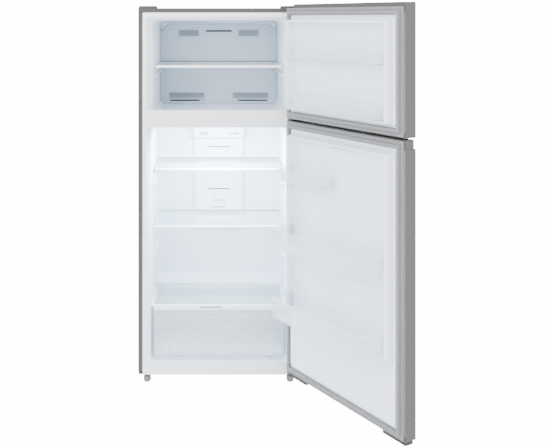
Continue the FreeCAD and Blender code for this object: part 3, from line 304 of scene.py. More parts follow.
def zinc(name, color):
    """Galvanised sheet, whose crystals show as faint flat patches."""
    finish = Finish(name, color, 0.45, 0.8)
    patches = finish.node("TexVoronoi", {}, {"Vector": finish.place(), "Scale": 90.0})[0]
    finish.tint(patches * 1.4, lighter(color, 0.88), lighter(color, 1.08))
    return finish.set("Roughness", 0.38 + patches * 0.3)


def enamel(name, color, roughness):
    """Thick gloss paint with a soft ripple and a little dust."""
    finish = Finish(name, color, roughness, 0.0, Coat_Weight=0.4, Coat_Roughness=0.12)
    dust = finish.noise(24, 4.0)
    finish.tint(dust, lighter(color, 0.9), lighter(color, 1.25))
    finish.set("Roughness", roughness + dust * 0.18)
    return finish.bump(finish.noise(160, 2.0), 0.0004, 0.15)


def copper(name, color):
    finish = Finish(name, color, 0.32, 0.95)
    tarnish = finish.noise(55, 4.0)
    finish.tint(tarnish, (0.36, 0.20, 0.13), color)
    return finish.set("Roughness", 0.25 + tarnish * 0.3)


print("metals ready")


# %% [markdown]
# Next the plastics. A liner is a sheet drawn over a mould, so it is glossy but not quite smooth, and the
# faint blue that it takes on from the cold lamps is painted into its colour as painted light. Moulded trim
# carries a fine spark texture. The clear bins are a thin shell: seen face on they almost vanish, and at a
# grazing angle they turn milky, which a layer weight gives without any guess about the view.

# %% Plastics, rubber and glass
def drawn_liner(name, color):
    finish = Finish(name, color, 0.34, 0.0, Specular_IOR_Level=0.45)
    clouds = finish.noise(2.2, 2.0)
    finish.tint(clouds, lighter(color, 0.965), lighter(color, 1.02))
    finish.set("Roughness", 0.28 + clouds * 0.14)
    return finish.bump(finish.noise(70, 3.0), 0.0004, 0.10)


def moulded(name, color, roughness=0.45, grain=900.0):
    finish = Finish(name, color, roughness)
    spark = finish.noise(grain, 2.0)
    wear = finish.noise(9, 3.0)
    finish.tint(wear, lighter(color, 0.94), lighter(color, 1.05))
    finish.set("Roughness", roughness - 0.05 + wear * 0.12)
    return finish.bump(spark, 0.0002, 0.25)


def clear_plastic(name, color, faint, milky):
    """Alpha rises from faint, face on, to milky at the edges of the form."""
    finish = Finish(name, color, 0.10, 0.0, Specular_IOR_Level=0.7, Coat_Weight=0.3)
    facing = finish.node("LayerWeight", {}, {"Blend": 0.35})[1]
    flow = finish.noise(14, 2.0, 0.0, (1, 1, 3))
    finish.tint(flow, lighter(color, 0.93), lighter(color, 1.05))
    finish.set("Alpha", faint + facing * (milky - faint) + flow * 0.05)
    return finish.set("Roughness", 0.08 + flow * 0.08)


def rubber(name, color):
    finish = Finish(name, color, 0.62, 0.0, Sheen_Weight=0.15)
    chalk = finish.noise(35, 4.0)
    finish.tint(chalk, lighter(color, 0.90), lighter(color, 1.08))
    finish.set("Roughness", 0.55 + chalk * 0.15)
    return finish.bump(finish.noise(600, 2.0), 0.0002, 0.3)


def foam(name, color):
    finish = Finish(name, color, 0.85)
    cells = finish.node("TexVoronoi", {}, {"Vector": finish.place(), "Scale": 700.0})[0]
    finish.tint(cells * 1.5, lighter(color, 0.85), color)
    return finish.bump(cells, 0.0006, 0.5)


def lamp_glow(name):
    """A frosted lens lit from behind: ribs of light and less light."""
    finish = Finish(name, (0.95, 0.97, 1.0), 0.3, 0.0, Emission_Strength=1.6)
    ribs = finish.node("TexWave", {"bands_direction": "X"}, {"Vector": finish.place(), "Scale": 60.0})[1]
    glow = finish.node("Mix", {"data_type": "RGBA"}, {0: ribs, 6: (0.80, 0.90, 1, 1), 7: (1, 1, 1, 1)})
    return finish.set("Emission Color", glow[2])


print("plastics ready")

# %% [markdown]
# One table now names every finish by the slot that wears it. A few more are for places inside a piece:
# the edge of the glass, the painted highlight on the rim of a clear bin and the painted shade at its foot,
# and the painted shadow behind a louvre, in a slot and in a screw's recess. The crisper drawer wears a
# lighter, bluer copy of the clear plastic, which is painted light.

# %% Every finish
FINISHES = {
    "silver_paint": silver_lacquer("silver_paint", (0.235, 0.238, 0.235)),
    "zinc_steel": zinc("zinc_steel", (0.50, 0.51, 0.52)),
    "base_steel": enamel("base_steel", (0.03, 0.03, 0.032), 0.4),
    "foam": foam("foam", (0.80, 0.72, 0.48)),
    # The blue in the liner's and the duct's whites is painted light from the cold lamps.
    "liner_white": drawn_liner("liner_white", (0.74, 0.80, 0.88)),
    "panel_white": drawn_liner("panel_white", (0.75, 0.76, 0.79)),
    "compressor_black": enamel("compressor_black", (0.015, 0.015, 0.016), 0.22),
    "copper_tube": copper("copper_tube", (0.68, 0.36, 0.22)),
    "black_plastic": moulded("black_plastic", (0.025, 0.025, 0.026)),
    "cover_grey": moulded("cover_grey", (0.50, 0.56, 0.64), 0.5),
    "fin_aluminium": brushed("fin_aluminium", (0.72, 0.73, 0.74), 0.35, (1, 1, 40)),
    "heater_steel": brushed("heater_steel", (0.42, 0.39, 0.36), 0.4, (1, 40, 40)),
    "motor_steel": zinc("motor_steel", (0.46, 0.47, 0.48)),
    "duct_white": moulded("duct_white", (0.76, 0.82, 0.90), 0.5),
    "lens": lamp_glow("lens"),
    "shelf_glass": clear_plastic("shelf_glass", (0.70, 0.86, 0.90), 0.07, 0.34),
    "trim_white": moulded("trim_white", (0.88, 0.90, 0.92), 0.3),
    "bin_clear": clear_plastic("bin_clear", (0.76, 0.85, 0.94), 0.12, 0.50),
    "hinge_steel": brushed("hinge_steel", (0.28, 0.29, 0.30), 0.38),
    "cap_grey": moulded("cap_grey", (0.065, 0.066, 0.067), 0.45),
    "cap_dark": moulded("cap_dark", (0.045, 0.045, 0.048), 0.5),
    "screw_steel": brushed("screw_steel", (0.55, 0.55, 0.56), 0.3, (30, 1, 30)),
    "gasket": rubber("gasket", (0.17, 0.172, 0.18)),
    "foot_plastic": moulded("foot_plastic", (0.16, 0.16, 0.165), 0.5),
    "roller_plastic": moulded("roller_plastic", (0.05, 0.05, 0.055), 0.55),
    "switch_white": moulded("switch_white", (0.80, 0.80, 0.80), 0.35),
}
DOOR_STEEL = silver_lacquer("door_steel", (0.27, 0.272, 0.27), -DOOR_OPEN)
# Painted shadow: near-black plates in slots, behind louvres and in screw recesses.
SHADOW = moulded("vent_shadow", (0.03, 0.036, 0.042), 0.6)
GLASS_EDGE = clear_plastic("glass_edge", (0.62, 0.82, 0.78), 0.75, 0.95)
# A lighter, bluer, less clear copy of the bin plastic for the crisper drawer: painted light.
DRAWER_CLEAR_LIT = clear_plastic("drawer_clear_lit", (0.80, 0.90, 1.0), 0.24, 0.60)
# Painted shade at the foot of a clear bin, and a painted highlight on its rim, ribs and beads.
BIN_SHADE = clear_plastic("bin_shade", (0.34, 0.38, 0.48), 0.50, 0.80)
BIN_HIGHLIGHT = clear_plastic("bin_highlight", (0.86, 0.92, 0.98), 0.60, 0.95)
print("finishes", len(FINISHES))

# %% [markdown]
# The floor is lit like the room: nearly all of what is seen or mirrored of it is plain glare, and the
# light that it throws back up comes from an ordinary pale surface.

# %% Floor finish
pale_floor = moulded("pale_floor", (0.86, 0.86, 0.86), 0.6, 60.0)
FLOOR_GLARE = 0.96
rays = pale_floor.node("LightPath")
surface = Value(pale_floor, pale_floor.shader.outputs[0])
for ray, strength in ((rays[3], ROOM_GLOSS), (rays[0], ROOM_SEEN)):
    glare = pale_floor.node("Emission", {}, {"Color": (1, 1, 1, 1), "Strength": strength})
    surface = pale_floor.node("MixShader", {}, {0: ray * FLOOR_GLARE, 1: surface, 2: glare[0]})[0]
pale_floor.feed(pale_floor.tree.nodes["Material Output"].inputs["Surface"], surface)
floor_mesh.materials.append(pale_floor.material)
print("floor nodes", len(pale_floor.tree.nodes))

# %% [markdown]
# The solids get their finishes first. Those that no piece replaces stay visible, such as foam, pipes
# and the door skins.

# %% Give every solid its slot's finish
SLOT_OF = {part["node"]: part["material_slot"] for part in frame["record"]["subparts"]}
for name, solid in frame["nodes"].items():
    chosen = FINISHES[SLOT_OF[name]].material
    if name in ("freezer_door_skin", "fridge_door_skin"):
        chosen = DOOR_STEEL.material
    solid.data.materials.clear()
    solid.data.materials.append(chosen)
print("solids dressed", len(SLOT_OF))


# %% [markdown]
# ## Three ways to make a piece
# A folded or cast part is its exact solid with every edge broken by a small bevel, because no real edge
# is sharp. A shell or a tray is a loft: a stack of rings joined by faces. A sheet drawn over a mould is
# a grid whose height follows a rule. Each has one helper, and all end in the same finishing call.

# %% Finishing helpers
def finish_piece(piece, body, slot, *replaced, material=None):
    """Dress a piece, let it ride on a body and hide the solids that it stands for."""
    if not piece.data.materials:
        piece.data.materials.append((material or FINISHES[slot]).material)
    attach(piece, body)
    if replaced:
        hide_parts(*replaced)
    return piece


def new_piece(name, vertices, faces):
    """A closed mesh with its doubles merged and its faces turned outwards."""
    mesh = bpy.data.meshes.new(name)
    mesh.from_pydata([tuple(v) for v in vertices], [], faces)
    mesh.validate()
    form = bmesh.new()
    form.from_mesh(mesh)
    bmesh.ops.remove_doubles(form, verts=form.verts, dist=0.00001)
    bmesh.ops.recalc_face_normals(form, faces=form.faces)
    form.to_mesh(mesh)
    form.free()
    piece = bpy.data.objects.new(name, mesh)
    bpy.context.scene.collection.objects.link(piece)
    mesh.shade_smooth()
    return piece


def settle(piece):
    """Turn live modifiers into plain mesh."""
    evaluated = piece.evaluated_get(bpy.context.evaluated_depsgraph_get())
    mesh = bpy.data.meshes.new_from_object(evaluated)
    piece.modifiers.clear()
    piece.data = mesh


def sharp_by_angle(piece, degrees=35):
    piece.data.shade_smooth()
    piece.data.set_sharp_from_angle(angle=math.radians(degrees))
    return piece


print("finishing helpers ready")

# %% [markdown]
# The bevel starts from a copy of the solid, whose loose triangles are merged and whose flat faces are
# joined again, so that only true edges are rounded.


# %% Bevelling helper
def softened(node, radius):
    """The exact solid, merged, with every hard edge rounded."""
    solid = frame["nodes"][node]
    form = bmesh.new()
    form.from_mesh(solid.data)
    bmesh.ops.remove_doubles(form, verts=form.verts, dist=0.00002)
    flat = math.radians(1.0)
    bmesh.ops.dissolve_limit(form, angle_limit=flat, verts=form.verts, edges=form.edges)
    mesh = bpy.data.meshes.new(f"soft_{node}")
    form.to_mesh(mesh)
    form.free()
    piece = bpy.data.objects.new(mesh.name, mesh)
    bpy.context.scene.collection.objects.link(piece)
    rounding = piece.modifiers.new("rounding", "BEVEL")
    rounding.width = radius
    rounding.segments = 2
    rounding.limit_method = "ANGLE"
    rounding.angle_limit = math.radians(40)
    settle(piece)
    sharp_by_angle(piece, 50)
    piece.data.materials.clear()
    return finish_piece(piece, solid["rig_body"], SLOT_OF[node], node)


print("bevel helper ready")

# %% [markdown]
# A loft needs rings with the same number of points, so a rounded rectangle always has as many, even
# where its corners are nearly square.


# %% Lofting helpers
def rounded_ring(low_x, high_x, low_z, high_z, radius, steps):
    """A rounded rectangle as (x, z) points, the same count for any radius."""
    points = []
    for centre_x, centre_z, start in (
        (high_x - radius, high_z - radius, 0), (low_x + radius, high_z - radius, 90),
        (low_x + radius, low_z + radius, 180), (high_x - radius, low_z + radius, 270),
    ):
        for step in range(steps + 1):
            angle = math.radians(start + 90 * step / steps)
            points.append((centre_x + radius * math.cos(angle), centre_z + radius * math.sin(angle)))
    return points


def loft(name, rings, closed=False, open_front=False):
    """Joins rings of equal length; closed joins the last to the first, otherwise the ends are capped."""
    count = len(rings[0])
    vertices = [point for ring in rings for point in ring]
    faces = []
    pairs = len(rings) if closed else len(rings) - 1
    for ring in range(pairs):
        here, after = ring * count, ((ring + 1) % len(rings)) * count
        for index in range(count):
            following = (index + 1) % count
            faces.append((here + index, here + following, after + following, after + index))
    if not closed and not open_front:
        faces.append(tuple(range(count)))
    if not closed:
        faces.append(tuple(range((len(rings) - 1) * count, len(rings) * count)))
    return new_piece(name, vertices, faces)


print("loft helper ready")

# %% [markdown]
# Ledges, lugs and ribs are boxes with soft edges. Several are gathered into one piece. A point on a
# door is given as if the door were shut, and the matrix of the open door carries it into place.


# %% Block helpers
def rounded_block(low, high, radius):
    """Vertices and faces of a box with rounded edges, for ledges and lugs."""
    form = bmesh.new()
    bmesh.ops.create_cube(form, size=1.0)
    for vertex in form.verts:
        for axis in range(3):
            vertex.co[axis] = low[axis] if vertex.co[axis] < 0 else high[axis]
    bmesh.ops.bevel(form, geom=form.edges[:], offset=radius, segments=3, profile=0.5, affect="EDGES")
    form.verts.index_update()
    vertices = [vertex.co.copy() for vertex in form.verts]
    faces = [[vertex.index for vertex in face.verts] for face in form.faces]
    form.free()
    return vertices, faces


def merged_blocks(name, blocks, carry=None):
    """Many rounded boxes, (low, high, radius), as one piece; carry moves each point into place."""
    vertices, faces = [], []
    for low, high, radius in blocks:
        more, sides = rounded_block(low, high, radius)
        faces += [[index + len(vertices) for index in side] for side in sides]
        vertices += [carry(*vertex) for vertex in more] if carry else more
    return sharp_by_angle(new_piece(name, vertices, faces))


def at_door(across, inward, height):
    """A point given from the hinged edge, off the inner face, and above the floor."""
    local = Vector((HINGE_INSET - across, HINGE_BACK + inward, height))
    return DOOR_PLACE @ local


print("block helpers ready")

# %% [markdown]
# ## Repeating with Geometry Nodes
# Louvres, ribs and screws repeat by a rule, so a node tree makes them: change a count and the whole
# row changes. Each tree has named inputs, makes its instances real, gives them a finish, and its result
# is then kept as plain mesh.


# %% Node tree helper
def node_tree(name, inputs):
    """An empty Geometry Nodes tree with named inputs and one geometry output."""
    tree = bpy.data.node_groups.new(name, "GeometryNodeTree")
    tree.interface.new_socket("Geometry", in_out="INPUT", socket_type="NodeSocketGeometry")
    for label, kind in inputs:
        tree.interface.new_socket(label, in_out="INPUT", socket_type=f"NodeSocket{kind}")
    tree.interface.new_socket("Geometry", in_out="OUTPUT", socket_type="NodeSocketGeometry")
    return tree


def add_node(tree, kind, links=None, **settings):
    made = tree.nodes.new(kind)
    for key, setting in settings.items():
        setattr(made, key, setting)
    for key, value in (links or {}).items():
        if isinstance(value, bpy.types.NodeSocket):
            tree.links.new(value, made.inputs[key])
        else:
            made.inputs[key].default_value = value
    return made


print("tree helpers ready")

# %% [markdown]
# A tree runs on a mesh that holds only its starting points. Its inputs are set by identifier before it
# is evaluated, and afterwards nothing live is left on the piece.


# %% Run a tree once
def run_tree(name, tree, values, vertices=()):
    """Evaluates a tree once and keeps its result as plain mesh."""
    mesh = bpy.data.meshes.new(name)
    mesh.from_pydata([tuple(v) for v in vertices], [], [])
    piece = bpy.data.objects.new(name, mesh)
    bpy.context.scene.collection.objects.link(piece)
    maker = piece.modifiers.new("maker", "NODES")
    maker.node_group = tree
    sockets = {item.name: item.identifier for item in tree.interface.items_tree if item.in_out == "INPUT"}
    for label, value in values.items():
        maker[sockets[label]] = value
    settle(piece)
    return sharp_by_angle(piece)


print("tree runner ready")

# %% [markdown]
# A louvre row is a line of points with the same thin, tilted blade on each.

# %% The louvre tree
louvres = node_tree("louvres", [
    ("Count", "Int"), ("Start", "Vector"), ("Step", "Vector"), ("Size", "Vector"), ("Turn", "Vector"),
    ("Finish", "Material"),
])
given = add_node(louvres, "NodeGroupInput")
line = add_node(louvres, "GeometryNodeMeshLine", {
    "Count": given.outputs["Count"], "Start Location": given.outputs["Start"],
    "Offset": given.outputs["Step"],
})
blade = add_node(louvres, "GeometryNodeMeshCube", {"Size": given.outputs["Size"]})
copies = add_node(louvres, "GeometryNodeInstanceOnPoints", {
    "Points": line.outputs[0], "Instance": blade.outputs[0], "Rotation": given.outputs["Turn"],
})
real = add_node(louvres, "GeometryNodeRealizeInstances", {"Geometry": copies.outputs[0]})
dressed = add_node(louvres, "GeometryNodeSetMaterial", {
    "Geometry": real.outputs[0], "Material": given.outputs["Finish"],
})
add_node(louvres, "NodeGroupOutput", {"Geometry": dressed.outputs[0]})


def louvre_row(name, start, step, size, count, slot, tilt=0.0, body="cabinet"):
    values = {
        "Count": count, "Start": tuple(start), "Step": tuple(step), "Size": tuple(size),
        "Turn": (tilt, 0.0, 0.0), "Finish": FINISHES[slot].material,
    }
    return finish_piece(run_tree(name, louvres, values), body, slot)


print("louvre tree", len(louvres.nodes), "nodes")

# %% [markdown]
# A screw's head is a flattened dome, and its cross recess is two bars in painted shadow that just break the
# surface.

# %% The screw tree
screws = node_tree("screws", [
    ("Radius", "Float"), ("Turn", "Vector"), ("Finish", "Material"), ("Slot", "Material"),
])
given = add_node(screws, "NodeGroupInput")
points = add_node(screws, "GeometryNodeMeshToPoints", {"Mesh": given.outputs["Geometry"]})
dome = add_node(screws, "GeometryNodeMeshUVSphere", {
    "Segments": 20, "Rings": 8, "Radius": given.outputs["Radius"],
})
flat_dome = add_node(screws, "GeometryNodeTransform", {"Geometry": dome.outputs[0], "Scale": (1, 1, 0.5)})
metal = add_node(screws, "GeometryNodeSetMaterial", {
    "Geometry": flat_dome.outputs[0], "Material": given.outputs["Finish"],
})
bar = add_node(screws, "GeometryNodeMeshCube", {"Size": (0.0046, 0.0011, 0.0044)})
crossed = add_node(screws, "GeometryNodeTransform", {
    "Geometry": bar.outputs[0], "Rotation": (0, 0, math.pi / 2),
})
cross = add_node(screws, "GeometryNodeJoinGeometry")
screws.links.new(bar.outputs[0], cross.inputs[0])
screws.links.new(crossed.outputs[0], cross.inputs[0])
dark = add_node(screws, "GeometryNodeSetMaterial", {
    "Geometry": cross.outputs[0], "Material": given.outputs["Slot"],
})
head = add_node(screws, "GeometryNodeJoinGeometry")
screws.links.new(metal.outputs[0], head.inputs[0])
screws.links.new(dark.outputs[0], head.inputs[0])
placed = add_node(screws, "GeometryNodeInstanceOnPoints", {
    "Points": points.outputs[0], "Instance": head.outputs[0], "Rotation": given.outputs["Turn"],
})
real = add_node(screws, "GeometryNodeRealizeInstances", {"Geometry": placed.outputs[0]})
add_node(screws, "NodeGroupOutput", {"Geometry": real.outputs[0]})
print("screw tree", len(screws.nodes), "nodes")

# %% [markdown]
# A cabinet maker measures from the middle of the front, so the pieces are placed in millimetres from
# there, and a solid's size can be asked for in the same terms.


# %% Cabinet coordinates
def spot(x, y, z):
    """Millimetres from the middle of the cabinet's front, on the floor, as a point in the frame."""
    return Vector((CENTRE_X + x * MM, FRONT_Y + y * MM, z * MM))


def above_front(node):
    """A solid's corners, in millimetres from the middle of the cabinet's front."""
    low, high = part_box(node)
    base = Vector((CENTRE_X, FRONT_Y, 0))
    return (low - base) / MM, (high - base) / MM


print("cabinet depth", round(above_front("cabinet_wrap")[1].y), "mm")

# %% [markdown]
# ## The cabinet
# Its shell is one sheet folded over the sides and top, so the exact solid only needs the small radius of
# a press brake. Sheet parts get well under a millimetre, plastic mouldings a millimetre or more.

# %% Folded and moulded cabinet parts
EDGES = {
    "cabinet_wrap": 0.4, "mullion_cover": 0.5, "lower_front_panel": 0.6, "rear_cover": 0.4,
    "base_frame": 0.4, "compressor_base": 0.4, "compressor": 1.0, "drip_pan": 0.5,
    "power_inlet": 0.8, "evaporator_cover": 0.5,
    "air_duct_cover": 0.9, "control_housing": 1.5, "lamp_lens": 1.2, "crisper_cover_frame": 1.2,
    "top_hinge": 0.5, "hinge_cover": 1.6, "hinge_hole_cap": 1.6, "middle_hinge": 0.5, "bottom_hinge": 0.5,
    "humidity_slider": 1.2, "fan_blade": 0.4, "door_switch_plunger": 0.8, "fan_motor": 0.6,
    "upper_shelf_trim": 1.6, "lower_shelf_trim": 1.6, "freezer_shelf_trim": 1.6,
    "fridge_door_grip": 1.2, "fridge_door_bottom_cap": 1.0, "freezer_door_caps": 0.9,
    "front_foot_left": 0.8, "front_foot_right": 0.8, "rear_roller_left": 0.8, "rear_roller_right": 0.8,
}
for node, edge in EDGES.items():
    softened(node, edge * MM)
print("softened", len(EDGES))

# %% [markdown]
# The two compartments are liners drawn from one sheet each: a flat frame that closes against the gasket,
# a mouth that narrows inwards, then straight walls with generous corners. That is a loft of rounded
# rectangles, from the front to the back.

# %% Liner sizes
FRAME_HALF = 330.5
OPENING_HALF = 316.0
fridge_low, fridge_high = above_front("fridge_liner")
freezer_low, freezer_high = above_front("freezer_liner")
LINER_WALL = 2.0
FREEZER_WALL, FRIDGE_WALL = 288.0, 297.5
FREEZER_FLOOR, FREEZER_CEILING = freezer_low.z + LINER_WALL, 1575.0
FREEZER_SILL, FREEZER_LINTEL = 1187.5, 1590.0
FRIDGE_SILL, FRIDGE_CEILING = 99.0, fridge_high.z - LINER_WALL
FRIDGE_FLOOR = fridge_low.z + LINER_WALL
HUMP_FRONT, HUMP_TOP = 318.0, 336.0
print("mouths", FREEZER_LINTEL - FREEZER_SILL, "and", round(FRIDGE_CEILING - FRIDGE_SILL, 1), "mm tall")

# %% [markdown]
# The loft is left open at the front. Its faces are turned to look into the compartment, and a thin wall
# is then added behind them.


# %% Draw both liners
def drawn_room(name, sections):
    """Rings of (half width, low, high, corner radius, depth), closed at the back."""
    rings = []
    for half, low, high, radius, depth in sections:
        ring = rounded_ring(-half, half, low, high, radius, 8)
        rings.append([spot(x, depth, z) for x, z in ring])
    room_piece = loft(name, rings, open_front=True)
    room_piece.data.flip_normals()
    wall = room_piece.modifiers.new("wall", "SOLIDIFY")
    wall.thickness = 1.2 * MM
    wall.offset = -1.0
    settle(room_piece)
    return sharp_by_angle(room_piece, 60)


freezer_room = drawn_room("freezer_room", [
    (FRAME_HALF, FREEZER_SILL - 2, freezer_high.z, 2, 1.8),
    (FRAME_HALF, FREEZER_SILL - 2, freezer_high.z, 2, 0.5),
    (FRAME_HALF - 0.6, FREEZER_SILL - 1.4, freezer_high.z - 0.6, 2, 0.0),
    (OPENING_HALF + 2, FREEZER_SILL - 0.8, FREEZER_LINTEL + 2, 10, 0.0),
    (OPENING_HALF, FREEZER_SILL, FREEZER_LINTEL, 10, 1.4),
    (FREEZER_WALL + 1.4, FREEZER_FLOOR + 1, FREEZER_CEILING + 0.6, 19, 43),
    (FREEZER_WALL, FREEZER_FLOOR, FREEZER_CEILING, 22, 48),
    (FREEZER_WALL, FREEZER_FLOOR, FREEZER_CEILING, 22, 540),
    (FREEZER_WALL - 3, FREEZER_FLOOR + 3, FREEZER_CEILING - 3, 22, 548),
])
finish_piece(freezer_room, "cabinet", "liner_white", "freezer_liner")
fridge_room = drawn_room("fridge_room", [
    (FRAME_HALF, fridge_low.z + 2, fridge_high.z, 2, 1.8),
    (FRAME_HALF, fridge_low.z + 2, fridge_high.z, 2, 0.5),
    (FRAME_HALF - 0.6, fridge_low.z + 2.6, fridge_high.z - 0.6, 2, 0.0),
    (OPENING_HALF + 2, FRIDGE_SILL - 1.5, FRIDGE_CEILING + 0.8, 10, 0.0),
    (OPENING_HALF, FRIDGE_SILL, FRIDGE_CEILING, 10, 1.4),
    (FRIDGE_WALL + 1, FRIDGE_FLOOR + 0.6, FRIDGE_CEILING, 17, 18),
    (FRIDGE_WALL, FRIDGE_FLOOR, FRIDGE_CEILING, 20, 23),
    (FRIDGE_WALL, FRIDGE_FLOOR, FRIDGE_CEILING, 20, 490),
    (FRIDGE_WALL - 3, FRIDGE_FLOOR + 3, FRIDGE_CEILING - 3, 20, 499),
])
finish_piece(fridge_room, "cabinet", "liner_white", "fridge_liner")
print("liner faces", len(freezer_room.data.polygons), len(fridge_room.data.polygons))

# %% [markdown]
# Shelves rest on ledges moulded into the side walls, and there are spare pairs for moving a shelf. The
# floor steps up over the compressor at the back. These are rounded blocks let a little into the wall.


# %% Ledges, runners and the step over the compressor
LEDGE_TALL, LEDGE_REACH, WALL_REAR = 9.0, 12.0, 490


def ledge_pair(wall, front, rear, top):
    """A ledge on each side wall, let 1 mm into it."""
    pair = []
    for side in (-1, 1):
        inner, outer = side * (wall - LEDGE_REACH), side * (wall + 1)
        low = spot(min(inner, outer), front, top - LEDGE_TALL)
        pair.append((low, spot(max(inner, outer), rear, top), 2.6 * MM))
    return pair


def underside(node):
    """The height at which a ledge just clears a shelf."""
    return above_front(node)[0].z - 0.4


shelf_front = above_front("upper_shelf_trim")[0].y
freezer_shelf_front = above_front("freezer_shelf_trim")[0].y
spacing = (underside("upper_shelf_trim") - underside("lower_shelf_trim")) / 4
fridge_ledges = []
for step in (0, 3, 4, -2):
    level = underside("lower_shelf_trim") + step * spacing
    fridge_ledges += ledge_pair(FRIDGE_WALL, shelf_front + 20, WALL_REAR, level)
fridge_ledges += ledge_pair(FRIDGE_WALL, 50, HUMP_FRONT - 4, underside("crisper_cover_glass"))
for near, far in ((-212, -200), (200, 212)):
    high = spot(far, HUMP_FRONT, FRIDGE_SILL + 1.1)
    fridge_ledges.append((spot(near, 24, FRIDGE_FLOOR - 1), high, 2 * MM))
finish_piece(merged_blocks("fridge_ledges", fridge_ledges), "cabinet", "liner_white")

freezer_ledges = []
for drop in (0, 30):
    level = underside("freezer_shelf_trim") - drop
    freezer_ledges += ledge_pair(FREEZER_WALL, freezer_shelf_front + 20, WALL_REAR - 10, level)
finish_piece(merged_blocks("freezer_ledges", freezer_ledges), "cabinet", "liner_white")

step_low = spot(-FRIDGE_WALL - 1, HUMP_FRONT, FRIDGE_FLOOR - 1)
step_high = spot(FRIDGE_WALL + 1, 501, HUMP_TOP)
finish_piece(merged_blocks("compressor_step", [(step_low, step_high, 5 * MM)]), "cabinet", "liner_white")
print("ledges", len(fridge_ledges) + len(freezer_ledges))

# %% [markdown]
# ## The cold air
# At the back of the freezer a cover hides the evaporator. Air leaves through louvres at the top and
# comes back through grilles at the foot. A louvre is a thin tilted blade, repeated down a dark slot, with
# a moulded frame round it.

# %% Louvres of the evaporator cover
cover_high = above_front("evaporator_cover")[1]
COVER_FACE = 485.0
FRAME_SECTION = ((0, 0.4), (0, -1.6), (0.8, -2.4))


def dark_slot(name, wide, tall, face, slot):
    """A thin plate in painted shadow that reads as an opening; wide and tall are each a low and a high."""
    shadow = (spot(wide[0], face - 0.7, tall[0]), spot(wide[1], face + 0.3, tall[1]), 0.2 * MM)
    finish_piece(merged_blocks(name, [shadow]), "cabinet", slot, material=SHADOW)


def grille(name, wide, tall, count, face, slot, border):
    """A back in painted shadow, tilted blades in front of it and a raised frame round both."""
    dark_slot(f"{name}_shadow", wide, tall, face, slot)
    pitch = (tall[1] - tall[0]) / count
    louvre_row(
        f"{name}_blades", spot(sum(wide) / 2, face - 1.4, tall[0] + pitch / 2), (0, 0, pitch * MM),
        ((wide[1] - wide[0]) * MM, 2.2 * MM, pitch * 0.34 * MM), count, slot, math.radians(-25),
    )
    section = [(border - inset, forward) for inset, forward in FRAME_SECTION] + [
        (inset, forward) for inset, forward in reversed(FRAME_SECTION)
    ]
    rings = []
    for outward, forward in section:
        ring = rounded_ring(
            wide[0] - outward, wide[1] + outward, tall[0] - outward, tall[1] + outward, 1.0 + outward, 4,
        )
        rings.append([spot(x, face + forward, z) for x, z in ring])
    finish_piece(sharp_by_angle(loft(f"{name}_frame", rings, closed=True)), "cabinet", slot)


for label, side in (("left", -1), ("right", 1)):
    for place, near, far, tall, count in (
        ("upper", 98, 196, (1498, 1528), 6), ("lower", 72, 244, (1192, 1219), 5),
    ):
        wide = sorted((side * near, side * far))
        grille(f"freezer_{place}_{label}", wide, tall, count, COVER_FACE, "cover_grey", 3.0)
    foot_wide = sorted((side * 94, side * 240))
    dark_slot(f"freezer_foot_{label}", foot_wide, (1177.5, 1182.5), COVER_FACE, "cover_grey")
dark_slot("freezer_centre", (-64, 64), (1519, 1526), COVER_FACE, "cover_grey")

# %% [markdown]
# Over the cover's sloping shoulders the liner's back closes the gap, and the cover itself ends in a
# raised rim, made like the grilles' frames.

# %% Shoulders and rim of the cover
BAND = ((-1, 1513), (-1, FREEZER_CEILING - 1), (1, FREEZER_CEILING - 1), (1, 1513))
band_outline = [(side * (FREEZER_WALL - 1), height) for side, height in BAND]
band_outline += [(246, 1554), (-246, 1554)]
band_rings = [[spot(x, COVER_FACE + depth, z) for x, z in band_outline] for depth in (3.4, 6)]
finish_piece(loft("cover_head_band", band_rings), "cabinet", "liner_white")

edge_rings = []
for inset, forward in ((2, 0.2), (2, -2.6), (4, -3.6), (10, -3.6), (12, -2.4), (12, 0.2)):
    half, top, foot, corner = 287 - inset, cover_high.z - inset, FREEZER_FLOOR + inset, 40
    outline = [
        (-half, foot), (half, foot), (half, top - corner), (half - corner, top), (corner - half, top),
        (-half, top - corner),
    ]
    edge_rings.append([spot(x, COVER_FACE + forward, z) for x, z in outline])
rim = loft("evaporator_cover_rim", edge_rings, closed=True)
finish_piece(sharp_by_angle(rim), "cabinet", "cover_grey")
print("rim rings", len(edge_rings))

# %% [markdown]
# In the fresh food compartment one moulded duct brings the cold air down and lets it out through short
# slots. The control housing under the ceiling breathes through two more, and has a dial.

# %% Slots of the air duct and the control housing
duct_face = above_front("air_duct_cover")[0].y
house_face = above_front("control_housing")[0].y
for index, (half, height) in enumerate(((58, 953.5), (53, 747))):
    dark_slot(f"duct_gap_{index}", (-half, half), (height - 2.4, height + 2.4), duct_face, "duct_white")
for index, (half, height) in enumerate(((59, 893), (59, 866), (28, 692), (34, 658))):
    grille(f"duct_slot_{index}", (-half, half), (height - 3, height + 3), 1, duct_face, "duct_white", 2.0)
for label, wide in (("left", (-93, -54)), ("right", (54, 97))):
    grille(f"control_slot_{label}", wide, (1019, 1029), 2, house_face, "duct_white", 2.0)
DIAL_HEIGHT, DIAL_SIDES = 1060, 36
turns = [2 * math.pi * step / DIAL_SIDES for step in range(DIAL_SIDES)]
dial = []
for radius, forward in ((15, 0.3), (15, -2), (14.2, -3), (9, -3), (8.6, -9), (7.8, -10), (0.01, -10)):
    dial.append([
        spot(radius * math.cos(turn), house_face + forward, DIAL_HEIGHT + radius * math.sin(turn))
        for turn in turns
    ])
dial_piece = sharp_by_angle(loft("temperature_dial", dial))
finish_piece(dial_piece, "cabinet", "duct_white", material=FINISHES["trim_white"])
print("dial faces", len(dial_piece.data.polygons))

